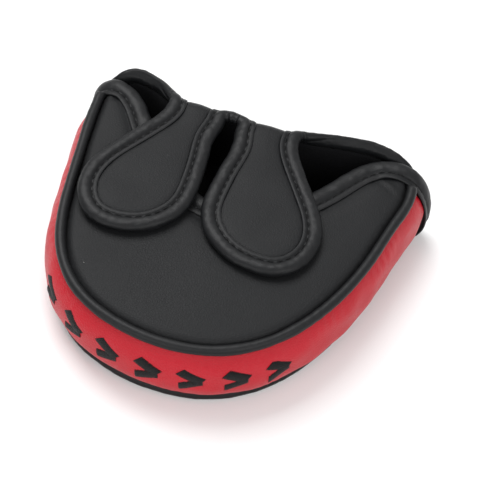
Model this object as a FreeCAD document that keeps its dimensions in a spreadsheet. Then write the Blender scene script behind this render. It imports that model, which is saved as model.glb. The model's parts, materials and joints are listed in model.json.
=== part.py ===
import FreeCAD, Part
import math
import os
import Sketcher
from FreeCAD import Vector

doc = FreeCAD.newDocument("putter_head_cover")
dims = doc.addObject("Spreadsheet::Sheet", "dims")

SIZES = [
    ("centre_x", 0.0, "middle of the overall width, measured from the round end's apex"),
    ("centre_y", 54.435, "middle of the overall depth, measured from the round end's apex"),
    ("piping_radius", 2.1, "corded piping, outside radius"),
    ("low_piping_z", 2.1, "centre height of the bottom piping"),
    ("high_piping_z", 30.7, "centre height of the top piping"),
    ("seam_inset", 2.2, "edge of every flat layer behind the piping's centre line"),
    ("skin", 1.2, "leather of the pocket's panels"),
    ("foam", 2.2, "foam of the pocket's panels"),
    ("cloth", 0.8, "lining of the pocket"),
    ("top_skin_z", 30.4, "underside of the top panel's leather"),
    ("top_foam_z", 28.2, "underside of the top foam"),
    ("top_cloth_z", 27.4, "underside of the top lining"),
    ("low_foam_z", 1.2, "underside of the bottom foam"),
    ("low_cloth_z", 3.4, "underside of the bottom lining"),
    ("band_bulge", 5.5, "how far the side band swells past the piping"),
    ("band_skin", 1.2, "leather of the side band"),
    ("band_foot", 0.7, "side band's edge outside the piping's centre line"),
    ("band_low", 4.3, "lower edge of the side band"),
    ("band_high", 28.5, "upper edge of the side band"),
    ("band_back", 1.0, "face of the side lining inside the piping's centre line"),
    ("lip_radius", 2.3, "rolled binding on the mouth's lip"),
    ("lip_z", 29.9, "centre height of the lip binding"),
    ("disc_radius", 7.0, "magnet and keeper discs"),
    ("disc_y", 53.0, "discs' distance from the round end"),
    ("disc_u", 24.5, "discs' distance from the gap between the tongues"),
    ("gap_x", -8.0, "middle of the gap between the two tongues"),
    ("tongue_z", 34.7, "middle height of a closed tongue, and its fold line"),
    ("tongue_half", 1.9, "half thickness of a tongue and of the front wall"),
    ("tongue_skin_z", 35.6, "underside of a tongue's leather"),
    ("tongue_skin", 0.8, "leather of the tongues and front wall"),
    ("tongue_foam_z", 33.5, "underside of a tongue's foam"),
    ("tongue_foam", 2.1, "foam of the tongues"),
    ("tongue_cloth_z", 32.9, "underside of a tongue's lining"),
    ("tongue_cloth", 0.6, "lining of the tongues"),
    ("bind_radius", 2.2, "rolled binding round a tongue"),
    ("flange", 5.4, "flat edge of a binding, from the roll's centre"),
    ("flange_thick", 0.5, "thickness of a binding's flat edge"),
    ("thread", 0.35, "radius of the sewing thread"),
    ("wall_y", 104.0, "front wall's hinge and fold line from the round end"),
    ("wall_foot_z", 2.2, "height of the front wall's hinge line"),
    ("wall_half_low", 54.5, "front wall's half width at its foot"),
    ("wall_top_z", 28.2, "height of the front wall beside the tongues"),
    ("wall_bind_z", 30.35, "centre height of the front wall's edge binding"),
    ("wall_bind", 2.1, "radius of the front wall's edge binding"),
    ("neck_top_z", 32.5, "height of the front wall below a tongue's fold"),
    ("motif_pitch", 14.5, "spacing of the embroidered chevrons along the band"),
    ("motif_long", 11.0, "length of one chevron along the band"),
    ("motif_high", 8.6, "height of one chevron"),
    ("motif_z", 18.8, "middle height of the chevrons"),
    ("motif_thick", 0.5, "how far the embroidery stands off the band"),
]
for row, (alias, value, note) in enumerate(SIZES, 1):
    dims.set("A%d" % row, alias.replace("_", " "))
    dims.set("B%d" % row, str(value))
    dims.setAlias("B%d" % row, alias)
    dims.set("C%d" % row, note)
doc.recompute()


def size(alias):
    return float(dims.get(alias))


# Piping centre line in plan, from the left mouth corner round to the right one.
RIM = [(-58.0, 101.4), (-58.3, 78.5), (-55.5, 59.7), (-53.0, 42.5), (-47.3, 25.3), (-35.9, 10.4),
       (-18.7, 2.2), (0.0, 0.0), (18.2, 3.7), (33.6, 13.4), (44.9, 27.1), (53.1, 42.5),
       (59.1, 59.6), (61.1, 79.4), (57.8, 101.4)]
# Centre line of the binding along the mouth's lip: right half, from the middle outwards.
LIP_HALF = [(20.0, 69.5), (37.5, 89.5), (47.0, 101.3), (53.5, 105.3)]
LIP = [(-x, y) for x, y in reversed(LIP_HALF)] + [(0.0, 61.5)] + LIP_HALF
# The binding then turns down each end of the side band: distance out, y, z.
LIP_END = [(57.6, 104.6, 29.8), (61.6, 104.2, 26.2), (64.4, 104.1, 16.4), (62.4, 104.1, 8.5),
           (59.4, 104.0, 3.2)]
# Binding centre line of a tongue: distance out from the gap's middle, y.
TONGUE = [(4.3, 101.6), (5.8, 90.5), (4.8, 79.0), (3.8, 66.0), (4.4, 56.0), (8.0, 48.5),
          (15.0, 42.2), (25.5, 39.0), (35.0, 40.6), (41.0, 47.0), (43.2, 56.0), (41.3, 65.5),
          (35.6, 76.0), (29.0, 86.5), (25.6, 94.0), (24.5, 101.6)]
# Middle of the front wall along its top, straight across the tongues and bowed beside them.
WALL = [(-57.0, 110.2), (-51.0, 112.6), (-44.0, 112.1), (-37.0, 108.4), (-31.5, 104.6),
        (-25.0, 104.0), (-8.0, 104.0), (11.0, 104.0), (18.0, 104.6), (26.0, 107.6),
        (37.0, 110.5), (48.0, 111.7), (57.0, 110.0)]
SIDES = (("left", -1.0, 0.96), ("right", 1.0, 1.04))


def flat(points, z=0.0):
    return [Vector(x, y, z) for x, y in points]


def spline(vectors):
    curve = Part.BSplineCurve()
    curve.interpolate(vectors)
    return curve


def arcs(curve):
    """Tangent arcs that follow a curve to a twentieth of a millimetre; they sweep cleanly."""
    return curve.toBiArcs(0.05)


def offset(points, distance):
    """Points moved to the left of the line of travel by a distance."""
    curve = spline(flat(points))
    moved = []
    for x, y in points:
        along = curve.tangent(curve.parameter(Vector(x, y, 0)))[0]
        moved.append((x - along.y * distance, y + along.x * distance))
    return moved


def closed(points):
    """A spline through the points, closed by a straight line."""
    vectors = flat(points)
    return [spline(vectors), Part.LineSegment(vectors[-1], vectors[0])]


def origin_plane(body, role):
    return [item for item in body.Origin.OriginFeatures if item.Role == role][0]


def new_body(label):
    body = doc.addObject("PartDesign::Body", label)
    body.Label = label
    body.setExpression("Placement.Base.x", "-dims.centre_x")
    body.setExpression("Placement.Base.y", "-dims.centre_y")
    return body


def sketch(body, name, plane, level, geometry):
    """A sketch on an origin plane, raised along the plane's normal by a sheet expression."""
    item = body.newObject("Sketcher::SketchObject", body.Label + "_" + name)
    item.AttachmentSupport = [(origin_plane(body, plane), "")]
    item.MapMode = "FlatFace"
    item.setExpression("AttachmentOffset.Base.z", level)
    for shape in geometry:
        item.addGeometry(shape, False)
    return item


def pad(body, item, length):
    feature = body.newObject("PartDesign::Pad", item.Name + "_pad")
    feature.Profile = item
    feature.setExpression("Length", length)
    return feature


def pocket_disc(body, level, depth, x):
    """Seat for a magnet or keeper disc, cut through one layer."""
    circle = Part.Circle(Vector(x, size("disc_y"), 0), Vector(0, 0, 1), size("disc_radius") + 0.05)
    item = sketch(body, "seat", "XY_Plane", level, [circle])
    number = item.addConstraint(Sketcher.Constraint("Radius", 0, size("disc_radius") + 0.05))
    item.setExpression("Constraints[%d]" % number, "dims.disc_radius + 0.05")
    cut = body.newObject("PartDesign::Pocket", item.Name + "_cut")
    cut.Profile = item
    cut.Reversed = True
    cut.setExpression("Length", depth)
    return cut


def pipe(body, path_item, profile_item):
    feature = body.newObject("PartDesign::AdditivePipe", body.Label + "_sweep")
    feature.Profile = profile_item
    feature.Spine = (path_item, [])
    return feature


def loft(body, low, high, name):
    feature = body.newObject("PartDesign::AdditiveLoft", body.Label + "_" + name)
    feature.Profile = low
    feature.Sections = [high]
    feature.Ruled = True
    return feature


def solid(label, shape):
    """A swept piece whose path leaves its plane, which sketches and primitives cannot follow."""
    item = doc.addObject("Part::Feature", label)
    item.Label = label
    item.Shape = shape
    item.Placement = FreeCAD.Placement(Vector(-size("centre_x"), -size("centre_y"), 0),
                                       FreeCAD.Rotation())
    return item


def tube(curve, radius):
    """A round cord along a curve."""
    wire = Part.Wire([arc.toShape() for arc in arcs(curve)])
    first = wire.OrderedEdges[0]
    along = first.tangentAt(first.FirstParameter)
    circle = Part.Wire([Part.makeCircle(radius, first.valueAt(first.FirstParameter), along)])
    return wire.makePipeShell([circle], True, True)


def rim(inset=0.0):
    return offset(RIM, inset)


# ---- pocket: flat layers -------------------------------------------------
def floor_layer(label, level, thick):
    body = new_body(label)
    pad(body, sketch(body, "outline", "XY_Plane", level, closed(rim(size("seam_inset")))), thick)
    return body


def roof_outline():
    edge = flat(rim(size("seam_inset")))
    lip = flat(reversed(offset(LIP, -size("lip_radius") - 0.05)))
    return [spline(edge), Part.LineSegment(edge[-1], lip[0]), spline(lip),
            Part.LineSegment(lip[-1], edge[0])]


def roof_layer(label, level, thick):
    body = new_body(label)
    pad(body, sketch(body, "outline", "XY_Plane", level, roof_outline()), thick)
    return body


def disc_x(sign):
    return size("gap_x") + sign * size("disc_u")


floor_layer("bottom_panel", "0.0", "dims.skin")
floor_layer("bottom_padding", "dims.low_foam_z", "dims.foam")
floor_layer("bottom_lining", "dims.low_cloth_z", "dims.cloth")
roof_layer("top_panel", "dims.top_skin_z", "dims.skin")
top_padding = roof_layer("top_padding", "dims.top_foam_z", "dims.foam")
roof_layer("top_lining", "dims.top_cloth_z", "dims.cloth")


def disc(label, level, thick, x):
    body = new_body(label)
    circle = Part.Circle(Vector(x, size("disc_y"), 0), Vector(0, 0, 1), size("disc_radius"))
    item = sketch(body, "face", "XY_Plane", level, [circle])
    number = item.addConstraint(Sketcher.Constraint("Radius", 0, size("disc_radius")))
    item.setExpression("Constraints[%d]" % number, "dims.disc_radius")
    pad(body, item, thick)
    return body


for name, sign, stretch in SIDES:
    seat = pocket_disc(top_padding, "dims.top_foam_z", "dims.foam", disc_x(sign))
    seat.Label = name + "_keeper_seat"
    disc(name + "_keeper", "dims.top_foam_z + 0.1", "dims.foam - 0.2", disc_x(sign))


# ---- pocket: side band and piping ---------------------------------------
START_X, START_Y = RIM[0]


def swept(label, path_level, profile):
    """A profile in the mouth's plane carried round the rim; the pocket's outside is at -x."""
    body = new_body(label)
    path = sketch(body, "path", "XY_Plane", path_level, arcs(spline(flat(RIM))))
    face = sketch(body, "profile", "XZ_Plane", "%r" % -START_Y, profile)
    pipe(body, path, face)
    return body


def side(out, z):
    return Vector(START_X - out, z, 0)


def band_arc(depth):
    """Arc of the swollen band, a depth in from its outer face."""
    low, high = size("band_low"), size("band_high")
    foot, bulge = size("band_foot"), size("band_bulge")
    return [side(foot - depth, low), side(bulge - depth, (low + high) / 2.0),
            side(foot - depth, high)]


def band_section(outer, inner):
    a, b = band_arc(outer), band_arc(inner)
    return [Part.Arc(*a), Part.LineSegment(a[2], b[2]), Part.Arc(*b), Part.LineSegment(b[0], a[0])]


def padding_section():
    a = band_arc(size("band_skin") + 0.02)
    back = size("band_back")
    low, high = side(-back, a[0].y), side(-back, a[2].y)
    return [Part.Arc(*a), Part.LineSegment(a[2], high), Part.LineSegment(high, low),
            Part.LineSegment(low, a[0])]


def lining_section():
    back = size("band_back") + 0.02
    low, high = size("band_low"), size("band_high")
    corners = [side(-back, low), side(-back, high), side(-back - size("cloth"), high),
               side(-back - size("cloth"), low)]
    return [Part.LineSegment(corners[n], corners[(n + 1) % 4]) for n in range(4)]


def piping_section(z):
    return [Part.Circle(side(0.0, z), Vector(0, 0, 1), size("piping_radius"))]


for label, level in (("bottom_piping", "low_piping_z"), ("top_piping", "high_piping_z")):
    swept(label, "dims." + level, piping_section(size(level)))
swept("side_band", "dims.band_low", band_section(0.0, size("band_skin")))
swept("side_padding", "dims.band_low", padding_section())
swept("side_lining", "dims.band_low", lining_section())


# ---- pocket: lip binding and its seam -----------------------------------
def lip_path():
    right = [Vector(x, y, z) for x, y, z in LIP_END]
    left = [Vector(-v.x, v.y, v.z) for v in reversed(right)]
    return left + flat(LIP, size("lip_z")) + right


solid("lip_binding", tube(spline(lip_path()), size("lip_radius")))
seam = flat(offset(LIP, -size("lip_radius") - 0.9), size("top_skin_z") + size("skin")
            + size("thread") + 0.02)
solid("lip_stitching", tube(spline(seam), size("thread")))


# ---- pocket: embroidered chevrons ---------------------------------------
def embroidery():
    thick = size("motif_thick")
    half_long, half_high = size("motif_long") / 2.0, size("motif_high") / 2.0
    path = spline(flat(RIM, size("band_low")))
    edges = []
    for geometry in band_section(-thick - 0.03, -0.03):
        edge = geometry.toShape()
        turn = FreeCAD.Placement(Vector(0, START_Y, 0), FreeCAD.Rotation(Vector(1, 0, 0), 90))
        edge.Placement = turn
        edges.append(edge)
    track = Part.Wire([arc.toShape() for arc in arcs(path)])
    skin = track.makePipeShell([Part.Wire(edges)], True, True)
    wire = path.toShape()
    middle = wire.Length * 0.49
    marks = []
    for count in range(-3, 4):
        station = wire.getParameterByLength(middle + count * size("motif_pitch"))
        point, along = wire.valueAt(station), wire.tangentAt(station)
        outward = Vector(along.y, -along.x, 0)
        outline = []
        for x, z in ((-1.0, 1.0), (-0.2, 1.0), (1.0, 0.0), (-0.2, -1.0), (-1.0, -1.0), (0.2, 0.0)):
            lift = size("motif_z") - size("band_low") + z * half_high
            outline.append(point + along * (x * half_long) + Vector(0, 0, lift))
        outline.append(outline[0])
        face = Part.Face(Part.makePolygon(outline))
        marks.append(skin.common(face.extrude(outward * (size("band_bulge") + 3.0))))
    return Part.makeCompound([piece for mark in marks for piece in mark.Solids])


solid("band_embroidery", embroidery())


# ---- front wall ----------------------------------------------------------
def neck_span(sign, stretch, margin):
    """Both edges of a tongue's root, drawn in by a margin from the binding's centre lines."""
    near = size("gap_x") + sign * (TONGUE[0][0] * stretch + margin)
    far = size("gap_x") + sign * (TONGUE[-1][0] * stretch - margin)
    return min(near, far), max(near, far)


def wall_section(near, far, foot):
    """Slice of a wall layer lying between two distances from the wall's middle."""
    if foot:
        scale = size("wall_half_low") / WALL[-1][0]
        line = [(x * scale, size("wall_y")) for x, y in WALL]
    else:
        line = WALL
    front = [Vector(x, y + far, 0) for x, y in line]
    back = [Vector(x, y + near, 0) for x, y in reversed(line)]
    return [spline(front), Part.LineSegment(front[-1], back[0]), spline(back),
            Part.LineSegment(back[-1], front[0])]


def wall_layer(label, near, far, foot_level):
    body = new_body(label)
    low = sketch(body, "foot", "XY_Plane", foot_level, wall_section(near, far, True))
    high = sketch(body, "top", "XY_Plane", "dims.wall_top_z", wall_section(near, far, False))
    loft(body, low, high, "rise")
    for name, sign, stretch in SIDES:
        left, right = neck_span(sign, stretch, size("wall_bind") + 0.05)
        y0, y1 = size("wall_y") + near + 0.03, size("wall_y") + far - 0.03
        corners = [Vector(left, y0, 0), Vector(right, y0, 0), Vector(right, y1, 0),
                   Vector(left, y1, 0)]
        lines = [Part.LineSegment(corners[n], corners[(n + 1) % 4]) for n in range(4)]
        neck = sketch(body, name + "_neck", "XY_Plane", "dims.wall_top_z - 1.0", lines)
        pad(body, neck, "dims.neck_top_z - dims.wall_top_z + 0.95")
    return body


HALF = size("tongue_half")
wall_panel = wall_layer("front_wall_panel", HALF - size("tongue_skin"), HALF, "dims.wall_foot_z")
foot = Part.Circle(Vector(size("wall_y"), size("wall_foot_z"), 0), Vector(0, 0, 1), HALF)
roll = sketch(wall_panel, "hinge_roll", "YZ_Plane", "-dims.wall_half_low", [foot])
pad(wall_panel, roll, "2 * dims.wall_half_low")
inner = HALF - size("tongue_skin")
wall_layer("front_wall_padding", -HALF + size("tongue_cloth"), inner - 0.02,
           "dims.wall_foot_z + dims.tongue_half + 0.05")
wall_layer("front_wall_lining", -HALF, -HALF + size("tongue_cloth") - 0.02,
           "dims.wall_foot_z + dims.tongue_half + 0.05")



def wall_edge(label, ends, inside):
    """Rolled binding along the wall's top between two places beside the tongues' roots."""
    start, finish = ends
    line = spline(flat(WALL))
    first, last = (line.parameter(Vector(x, y, 0)) for x, y in (start, finish))
    points = [line.value(first + (last - first) * n / inside) for n in range(inside + 1)]
    path = spline([Vector(point.x, point.y, size("wall_bind_z")) for point in points])
    solid(label, tube(path, size("wall_bind")))


necks = [neck_span(sign, stretch, size("wall_bind") - 0.05) for name, sign, stretch in SIDES]
wall_edge("front_binding_left", (WALL[0], (necks[0][0], WALL[5][1])), 6)
wall_edge("front_binding_centre", ((necks[0][1], size("wall_y")), (necks[1][0], size("wall_y"))), 2)
wall_edge("front_binding_right", ((necks[1][1], WALL[8][1]), WALL[-1]), 6)


# ---- tongues -------------------------------------------------------------
def tongue_line(sign, stretch):
    return [(size("gap_x") + sign * u * stretch, y) for u, y in TONGUE]


def tongue_layer(label, sign, stretch, level, thick, root):
    body = new_body(label)
    inward = offset(tongue_line(sign, stretch), sign * (size("bind_radius") + 0.05))
    inward[0] = (inward[0][0], root)
    inward[-1] = (inward[-1][0], root)
    pad(body, sketch(body, "outline", "XY_Plane", level, closed(inward)), thick)
    return body


def bind_section(x, z, sign):
    """Roll with a flat edge reaching over the tongue's leather."""
    radius, thick = size("bind_radius"), size("flange_thick")
    inside = math.sqrt(radius ** 2 - (radius - thick) ** 2)
    top, low = Vector(x, z + radius, 0), Vector(x, z - radius, 0)
    under = Vector(x + sign * inside, z + radius - thick, 0)
    edge_top = Vector(x + sign * size("flange"), z + radius, 0)
    edge_low = Vector(x + sign * size("flange"), z + radius - thick, 0)
    return [Part.Arc(top, low, under), Part.LineSegment(under, edge_low),
            Part.LineSegment(edge_low, edge_top), Part.LineSegment(edge_top, top)]


for name, sign, stretch in SIDES:
    line = tongue_line(sign, stretch)
    panel = tongue_layer(name + "_tongue_panel", sign, stretch, "dims.tongue_skin_z",
                         "dims.tongue_skin", size("wall_y"))
    span = neck_span(sign, stretch, -size("bind_radius"))
    circle = Part.Circle(Vector(size("wall_y"), size("tongue_z"), 0), Vector(0, 0, 1), HALF)
    fold = sketch(panel, "fold_roll", "YZ_Plane", "%r" % span[0], [circle])
    pad(panel, fold, "%r" % (span[1] - span[0]))
    root = size("wall_y") - HALF - 0.05
    foam = tongue_layer(name + "_tongue_padding", sign, stretch, "dims.tongue_foam_z",
                        "dims.tongue_foam", root)
    pocket_disc(foam, "dims.tongue_foam_z", "dims.tongue_foam", disc_x(sign))
    disc(name + "_magnet", "dims.tongue_foam_z + 0.05", "dims.tongue_foam - 0.1", disc_x(sign))
    tongue_layer(name + "_tongue_lining", sign, stretch, "dims.tongue_cloth_z",
                 "dims.tongue_cloth", root)
    binding = new_body(name + "_tongue_binding")
    path = sketch(binding, "path", "XY_Plane", "dims.tongue_z", arcs(spline(flat(line))))
    face = sketch(binding, "profile", "XZ_Plane", "%r" % -line[0][1],
                  bind_section(line[0][0], size("tongue_z"), sign))
    pipe(binding, path, face)
    seam = offset(line, sign * (size("bind_radius") + 1.0))
    height = size("tongue_z") + size("bind_radius") + size("thread") + 0.02
    solid(name + "_tongue_stitching", tube(spline(flat(seam, height)), size("thread")))

doc.recompute()

# ---- export --------------------------------------------------------------
os.makedirs("parts", exist_ok=True)
box = None
for item in doc.Objects:
    is_piece = item.TypeId == "PartDesign::Body" or item.TypeId == "Part::Feature"
    if "Invalid" in item.State or "Error" in item.State:
        raise RuntimeError("object failed: " + item.Label)
    if not is_piece:
        continue
    if item.Shape.isNull() or not item.Shape.isValid():
        raise RuntimeError("bad shape: " + item.Label)
    item.Shape.exportStep("parts/%s.step" % item.Label)
    bounds = item.Shape.BoundBox
    print("%-26s solids %d volume %9.1f  x %.1f %.1f  y %.1f %.1f  z %.2f %.2f" % (
        item.Label, len(item.Shape.Solids), item.Shape.Volume, bounds.XMin, bounds.XMax,
        bounds.YMin, bounds.YMax, bounds.ZMin, bounds.ZMax))
    if box is None:
        box = FreeCAD.BoundBox(bounds)
    else:
        box.add(bounds)
print("overall", box)
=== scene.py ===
import sys
import json
import logging
import math
from dataclasses import dataclass, field
from enum import Enum
from typing import Callable, Optional, Sequence

import bmesh
import bpy
import numpy as np
from mathutils import Matrix, Vector
from mathutils.geometry import delaunay_2d_cdt


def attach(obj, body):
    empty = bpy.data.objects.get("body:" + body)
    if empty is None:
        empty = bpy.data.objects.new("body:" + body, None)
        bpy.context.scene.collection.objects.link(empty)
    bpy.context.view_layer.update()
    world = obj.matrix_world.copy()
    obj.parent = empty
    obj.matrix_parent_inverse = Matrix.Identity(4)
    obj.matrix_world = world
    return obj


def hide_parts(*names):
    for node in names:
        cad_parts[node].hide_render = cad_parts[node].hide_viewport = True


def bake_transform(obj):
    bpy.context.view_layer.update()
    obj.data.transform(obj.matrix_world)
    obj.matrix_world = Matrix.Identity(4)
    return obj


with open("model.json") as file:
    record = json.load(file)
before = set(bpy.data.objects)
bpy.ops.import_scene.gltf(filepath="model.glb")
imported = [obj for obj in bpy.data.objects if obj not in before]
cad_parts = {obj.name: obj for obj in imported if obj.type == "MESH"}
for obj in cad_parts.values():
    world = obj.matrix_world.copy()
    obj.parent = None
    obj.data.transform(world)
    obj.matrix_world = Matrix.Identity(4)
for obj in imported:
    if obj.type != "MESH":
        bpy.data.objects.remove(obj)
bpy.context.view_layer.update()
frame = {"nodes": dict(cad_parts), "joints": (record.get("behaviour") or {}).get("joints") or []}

LOG = logging.getLogger("head_cover")
Array = np.ndarray

MM = 0.001
FOLD_Y = 104.0
"""Millimetres from the round end's apex, where the sizes below start, to the front wall."""
DEPTH_SHIFT = FOLD_Y - frame["joints"][0]["pos_m"][1] / MM

RIM = [(-59.6, 101.4), (-58.6, 84.0), (-56.4, 66.0), (-53.6, 46.0), (-47.6, 25.3), (-35.9, 10.4),
       (-18.7, 2.2), (0.0, 0.0), (18.2, 3.7), (33.2, 13.4), (44.2, 27.1), (52.0, 42.5),
       (57.6, 59.6), (62.0, 79.4), (64.4, 91.0), (63.8, 101.4)]
LIP_HALF = [(20.0, 69.5), (37.5, 89.5), (47.0, 102.0), (52.5, 105.3)]
LIP_RIGHT = [(57.6, 105.3, 31.2), (62.6, 105.1, 30.1), (66.7, 104.9, 26.4), (69.7, 104.7, 20.3),
             (71.3, 104.5, 13.4), (70.8, 104.3, 7.3), (68.4, 104.1, 3.4), (65.6, 103.4, 2.3)]
LIP_LEFT = [(-56.8, 105.0, 30.6), (-60.0, 104.8, 27.8), (-61.7, 104.6, 21.5),
            (-62.2, 104.4, 14.5), (-61.4, 104.2, 8.0), (-59.6, 104.0, 3.4), (-57.6, 103.4, 2.3)]
TONGUE = [(4.4, 98.5), (5.6, 90.5), (4.8, 79.0), (3.8, 66.0), (4.4, 56.0), (8.0, 48.5),
          (15.0, 42.2), (25.5, 39.0), (35.0, 40.6), (41.0, 47.0), (43.2, 56.0), (41.3, 65.5),
          (35.6, 76.0), (29.0, 86.5), (25.2, 93.5), (24.0, 98.0)]
WALL = [(-57.0, 110.2), (-51.0, 112.6), (-44.0, 112.1), (-37.0, 108.4), (-31.5, 104.6),
        (-25.0, 104.0), (-8.0, 104.0), (11.0, 104.0), (18.0, 104.6), (26.0, 107.6),
        (37.0, 110.5), (48.0, 111.7), (57.0, 110.0)]
GAP_X = -8.0


class Side(Enum):
    """Which of the pair of tongues a piece belongs to: sign of x and share of the mean width."""

    LEFT = ("left", -1.0, 0.96)
    RIGHT = ("right", 1.0, 1.04)

    @property
    def word(self) -> str:
        """The side's name, as the CAD nodes spell it."""
        return self.value[0]

    @property
    def sign(self) -> float:
        """Direction away from the gap between the tongues."""
        return self.value[1]

    @property
    def stretch(self) -> float:
        """Width of this tongue against the mean of the two."""
        return self.value[2]


# ---------------------------------------------------------------- curves and surfaces
def spline(points: Sequence[Sequence[float]], step: float) -> Array:
    """Runs a cubic spline through points and spaces it evenly.

    Args:
        points: The points it passes, in two or three dimensions.
        step: The wanted spacing along it.

    Returns:
        One row for each point along the curve.
    """
    p = np.asarray(points, float)
    t = np.r_[0.0, np.cumsum(np.linalg.norm(np.diff(p, axis=0), axis=1))]
    h = np.diff(t)
    count = len(p)
    left, right = np.zeros((count, count)), np.zeros_like(p)
    left[0, 0] = left[-1, -1] = 1.0
    for i in range(1, count - 1):
        left[i, i - 1:i + 2] = h[i - 1], 2 * (h[i - 1] + h[i]), h[i]
        right[i] = 6 * ((p[i + 1] - p[i]) / h[i] - (p[i] - p[i - 1]) / h[i - 1])
    m = np.linalg.solve(left, right)
    u = np.linspace(0, t[-1], max(400, int(8 * t[-1] / step)))
    k = np.clip(np.searchsorted(t, u, side="right") - 1, 0, count - 2)
    a, b, w = (t[k + 1] - u)[:, None], (u - t[k])[:, None], h[k][:, None]
    curve = (m[k] * a ** 3 + m[k + 1] * b ** 3) / (6 * w) \
        + (p[k] / w - m[k] * w / 6) * a + (p[k + 1] / w - m[k + 1] * w / 6) * b
    return even(curve, step)


def even(line: Array, step: float) -> Array:
    """Spaces a line of points evenly.

    Args:
        line: The points.
        step: The wanted spacing.

    Returns:
        The new points, with the same two ends.
    """
    t = lengths(line)
    s = np.linspace(0, t[-1], max(2, int(round(t[-1] / step)) + 1))
    return np.stack([np.interp(s, t, line[:, n]) for n in range(line.shape[1])], axis=1)


def lengths(line: Array) -> Array:
    """Distance along a line to each of its points."""
    return np.r_[0.0, np.cumsum(np.linalg.norm(np.diff(line, axis=0), axis=1))]


def unit(v: Array) -> Array:
    """Rows scaled to length one."""
    return v / np.maximum(np.linalg.norm(v, axis=-1, keepdims=True), 1e-9)


def along(line: Array) -> Array:
    """Unit direction of travel at each point of a line."""
    return unit(np.gradient(line, axis=0))


def shifted(line: Array, distance: float) -> Array:
    """A plan line moved to the left of its direction of travel."""
    t = along(line)
    return line + np.stack([-t[:, 1], t[:, 0]], axis=1) * distance


def smooth(x: Array) -> Array:
    """Eases from 0 to 1 as x goes from 0 to 1."""
    x = np.clip(x, 0, 1)
    return x * x * (3 - 2 * x)


def bump(x: Array, width: float) -> Array:
    """A soft hump of height one, a width either side of nought."""
    return np.exp(-(x / width) ** 2)


def ripple(points: Array, wave: float, seed: int, parts: int = 14) -> Array:
    """Soft irregular swelling over space, the same in every run.

    Args:
        points: One row for each place.
        wave: The rough distance between swellings.
        seed: Picks the pattern.
        parts: How many waves are added.

    Returns:
        A value from about -1 to 1 for each place.
    """
    rng = np.random.default_rng(seed)
    turn = unit(rng.normal(size=(parts, points.shape[1])))
    size = 2 * math.pi / (wave * rng.uniform(0.7, 1.6, parts))
    phase = rng.uniform(0, 2 * math.pi, parts)
    return np.sin(points @ (turn * size[:, None]).T + phase).sum(axis=1) / parts ** 0.5


def gap_to(points: Array, line: Array) -> Array:
    """Distance from each place to the nearest part of a line.

    Args:
        points: One row for each place.
        line: The line's points.

    Returns:
        The distance of each place.
    """
    a, b = line[:-1], line[1:]
    d = b - a
    best = np.full(len(points), np.inf)
    for start in range(0, len(points), 2000):
        q = points[start:start + 2000, None, :]
        t = np.clip(((q - a) * d).sum(-1) / np.maximum((d * d).sum(-1), 1e-12), 0, 1)
        far = np.linalg.norm(q - (a + d * t[..., None]), axis=-1)
        best[start:start + 2000] = far.min(axis=1)
    return best


def gap_to_ring(points: Array, ring: Array) -> Array:
    """Distance from each place to a closed outline."""
    return gap_to(points, np.vstack([ring, ring[:1]]))


def inside(points: Array, ring: Array) -> Array:
    """Whether each place lies within a closed outline.

    Args:
        points: One row for each place.
        ring: The outline, its first point not repeated.

    Returns:
        True for each place within.
    """
    x, y = points[:, 0:1], points[:, 1:2]
    x0, y0 = ring[:, 0], ring[:, 1]
    x1, y1 = np.roll(x0, -1), np.roll(y0, -1)
    crosses = (y0 > y) != (y1 > y)
    at = x0 + (y - y0) * (x1 - x0) / np.where(y1 == y0, 1e-9, y1 - y0)
    return (crosses & (x < at)).sum(axis=1) % 2 == 1


def fill(ring: Array, spacing: float) -> tuple[Array, list[list[int]]]:
    """Fills a closed outline with even triangles.

    Args:
        ring: The outline, its first point not repeated.
        spacing: Rough edge length of a triangle.

    Returns:
        The points, the outline's first, and the triangles.
    """
    low, high = ring.min(axis=0), ring.max(axis=0)
    rows = []
    for n, y in enumerate(np.arange(low[1], high[1], spacing * 0.866)):
        x = np.arange(low[0] + (n % 2) * spacing / 2, high[0], spacing)
        rows.append(np.column_stack([x, np.full(len(x), y)]))
    inner = np.concatenate(rows)
    inner = inner[inside(inner, ring)]
    inner = inner[gap_to_ring(inner, ring) > spacing * 0.55]
    everything = np.vstack([ring, inner])
    count = len(ring)
    edges = [(n, (n + 1) % count) for n in range(count)]
    out = delaunay_2d_cdt([Vector(p) for p in everything], edges, [], 1, 1e-7)
    return np.array([tuple(v) for v in out[0]]), [list(f) for f in out[2]]


def make_object(name: str, verts: Array, faces: Sequence[Sequence[int]],
                uv: Optional[Array] = None, rub: Optional[Array] = None) -> bpy.types.Object:
    """Makes a mesh object in the row frame from sizes in millimetres.

    Args:
        name: The piece's name.
        verts: Its points, counted from the round end's apex.
        faces: Its faces, turned outwards.
        uv: A place in metres on the surface for each point.
        rub: How worn each point is, from 0 to 1.

    Returns:
        The object, at the origin.
    """
    placed = (np.asarray(verts, float) - [0.0, DEPTH_SHIFT, 0.0]) * MM
    mesh = bpy.data.meshes.new(name)
    mesh.from_pydata(placed.tolist(), [], [list(f) for f in faces])
    mesh.polygons.foreach_set("use_smooth", [True] * len(mesh.polygons))
    if uv is not None:
        layer = mesh.uv_layers.new(name="UVMap")
        index = np.zeros(len(mesh.loops), int)
        mesh.loops.foreach_get("vertex_index", index)
        layer.data.foreach_set("uv", (uv[index] * MM).astype(np.float32).ravel())
    attribute = mesh.attributes.new("rub", "FLOAT", "POINT")
    attribute.data.foreach_set("value", (np.zeros(len(verts)) if rub is None else rub)
                               .astype(np.float32))
    mesh.update()
    mesh.validate()
    obj = bpy.data.objects.new(name, mesh)
    bpy.context.scene.collection.objects.link(obj)
    return obj


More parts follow.
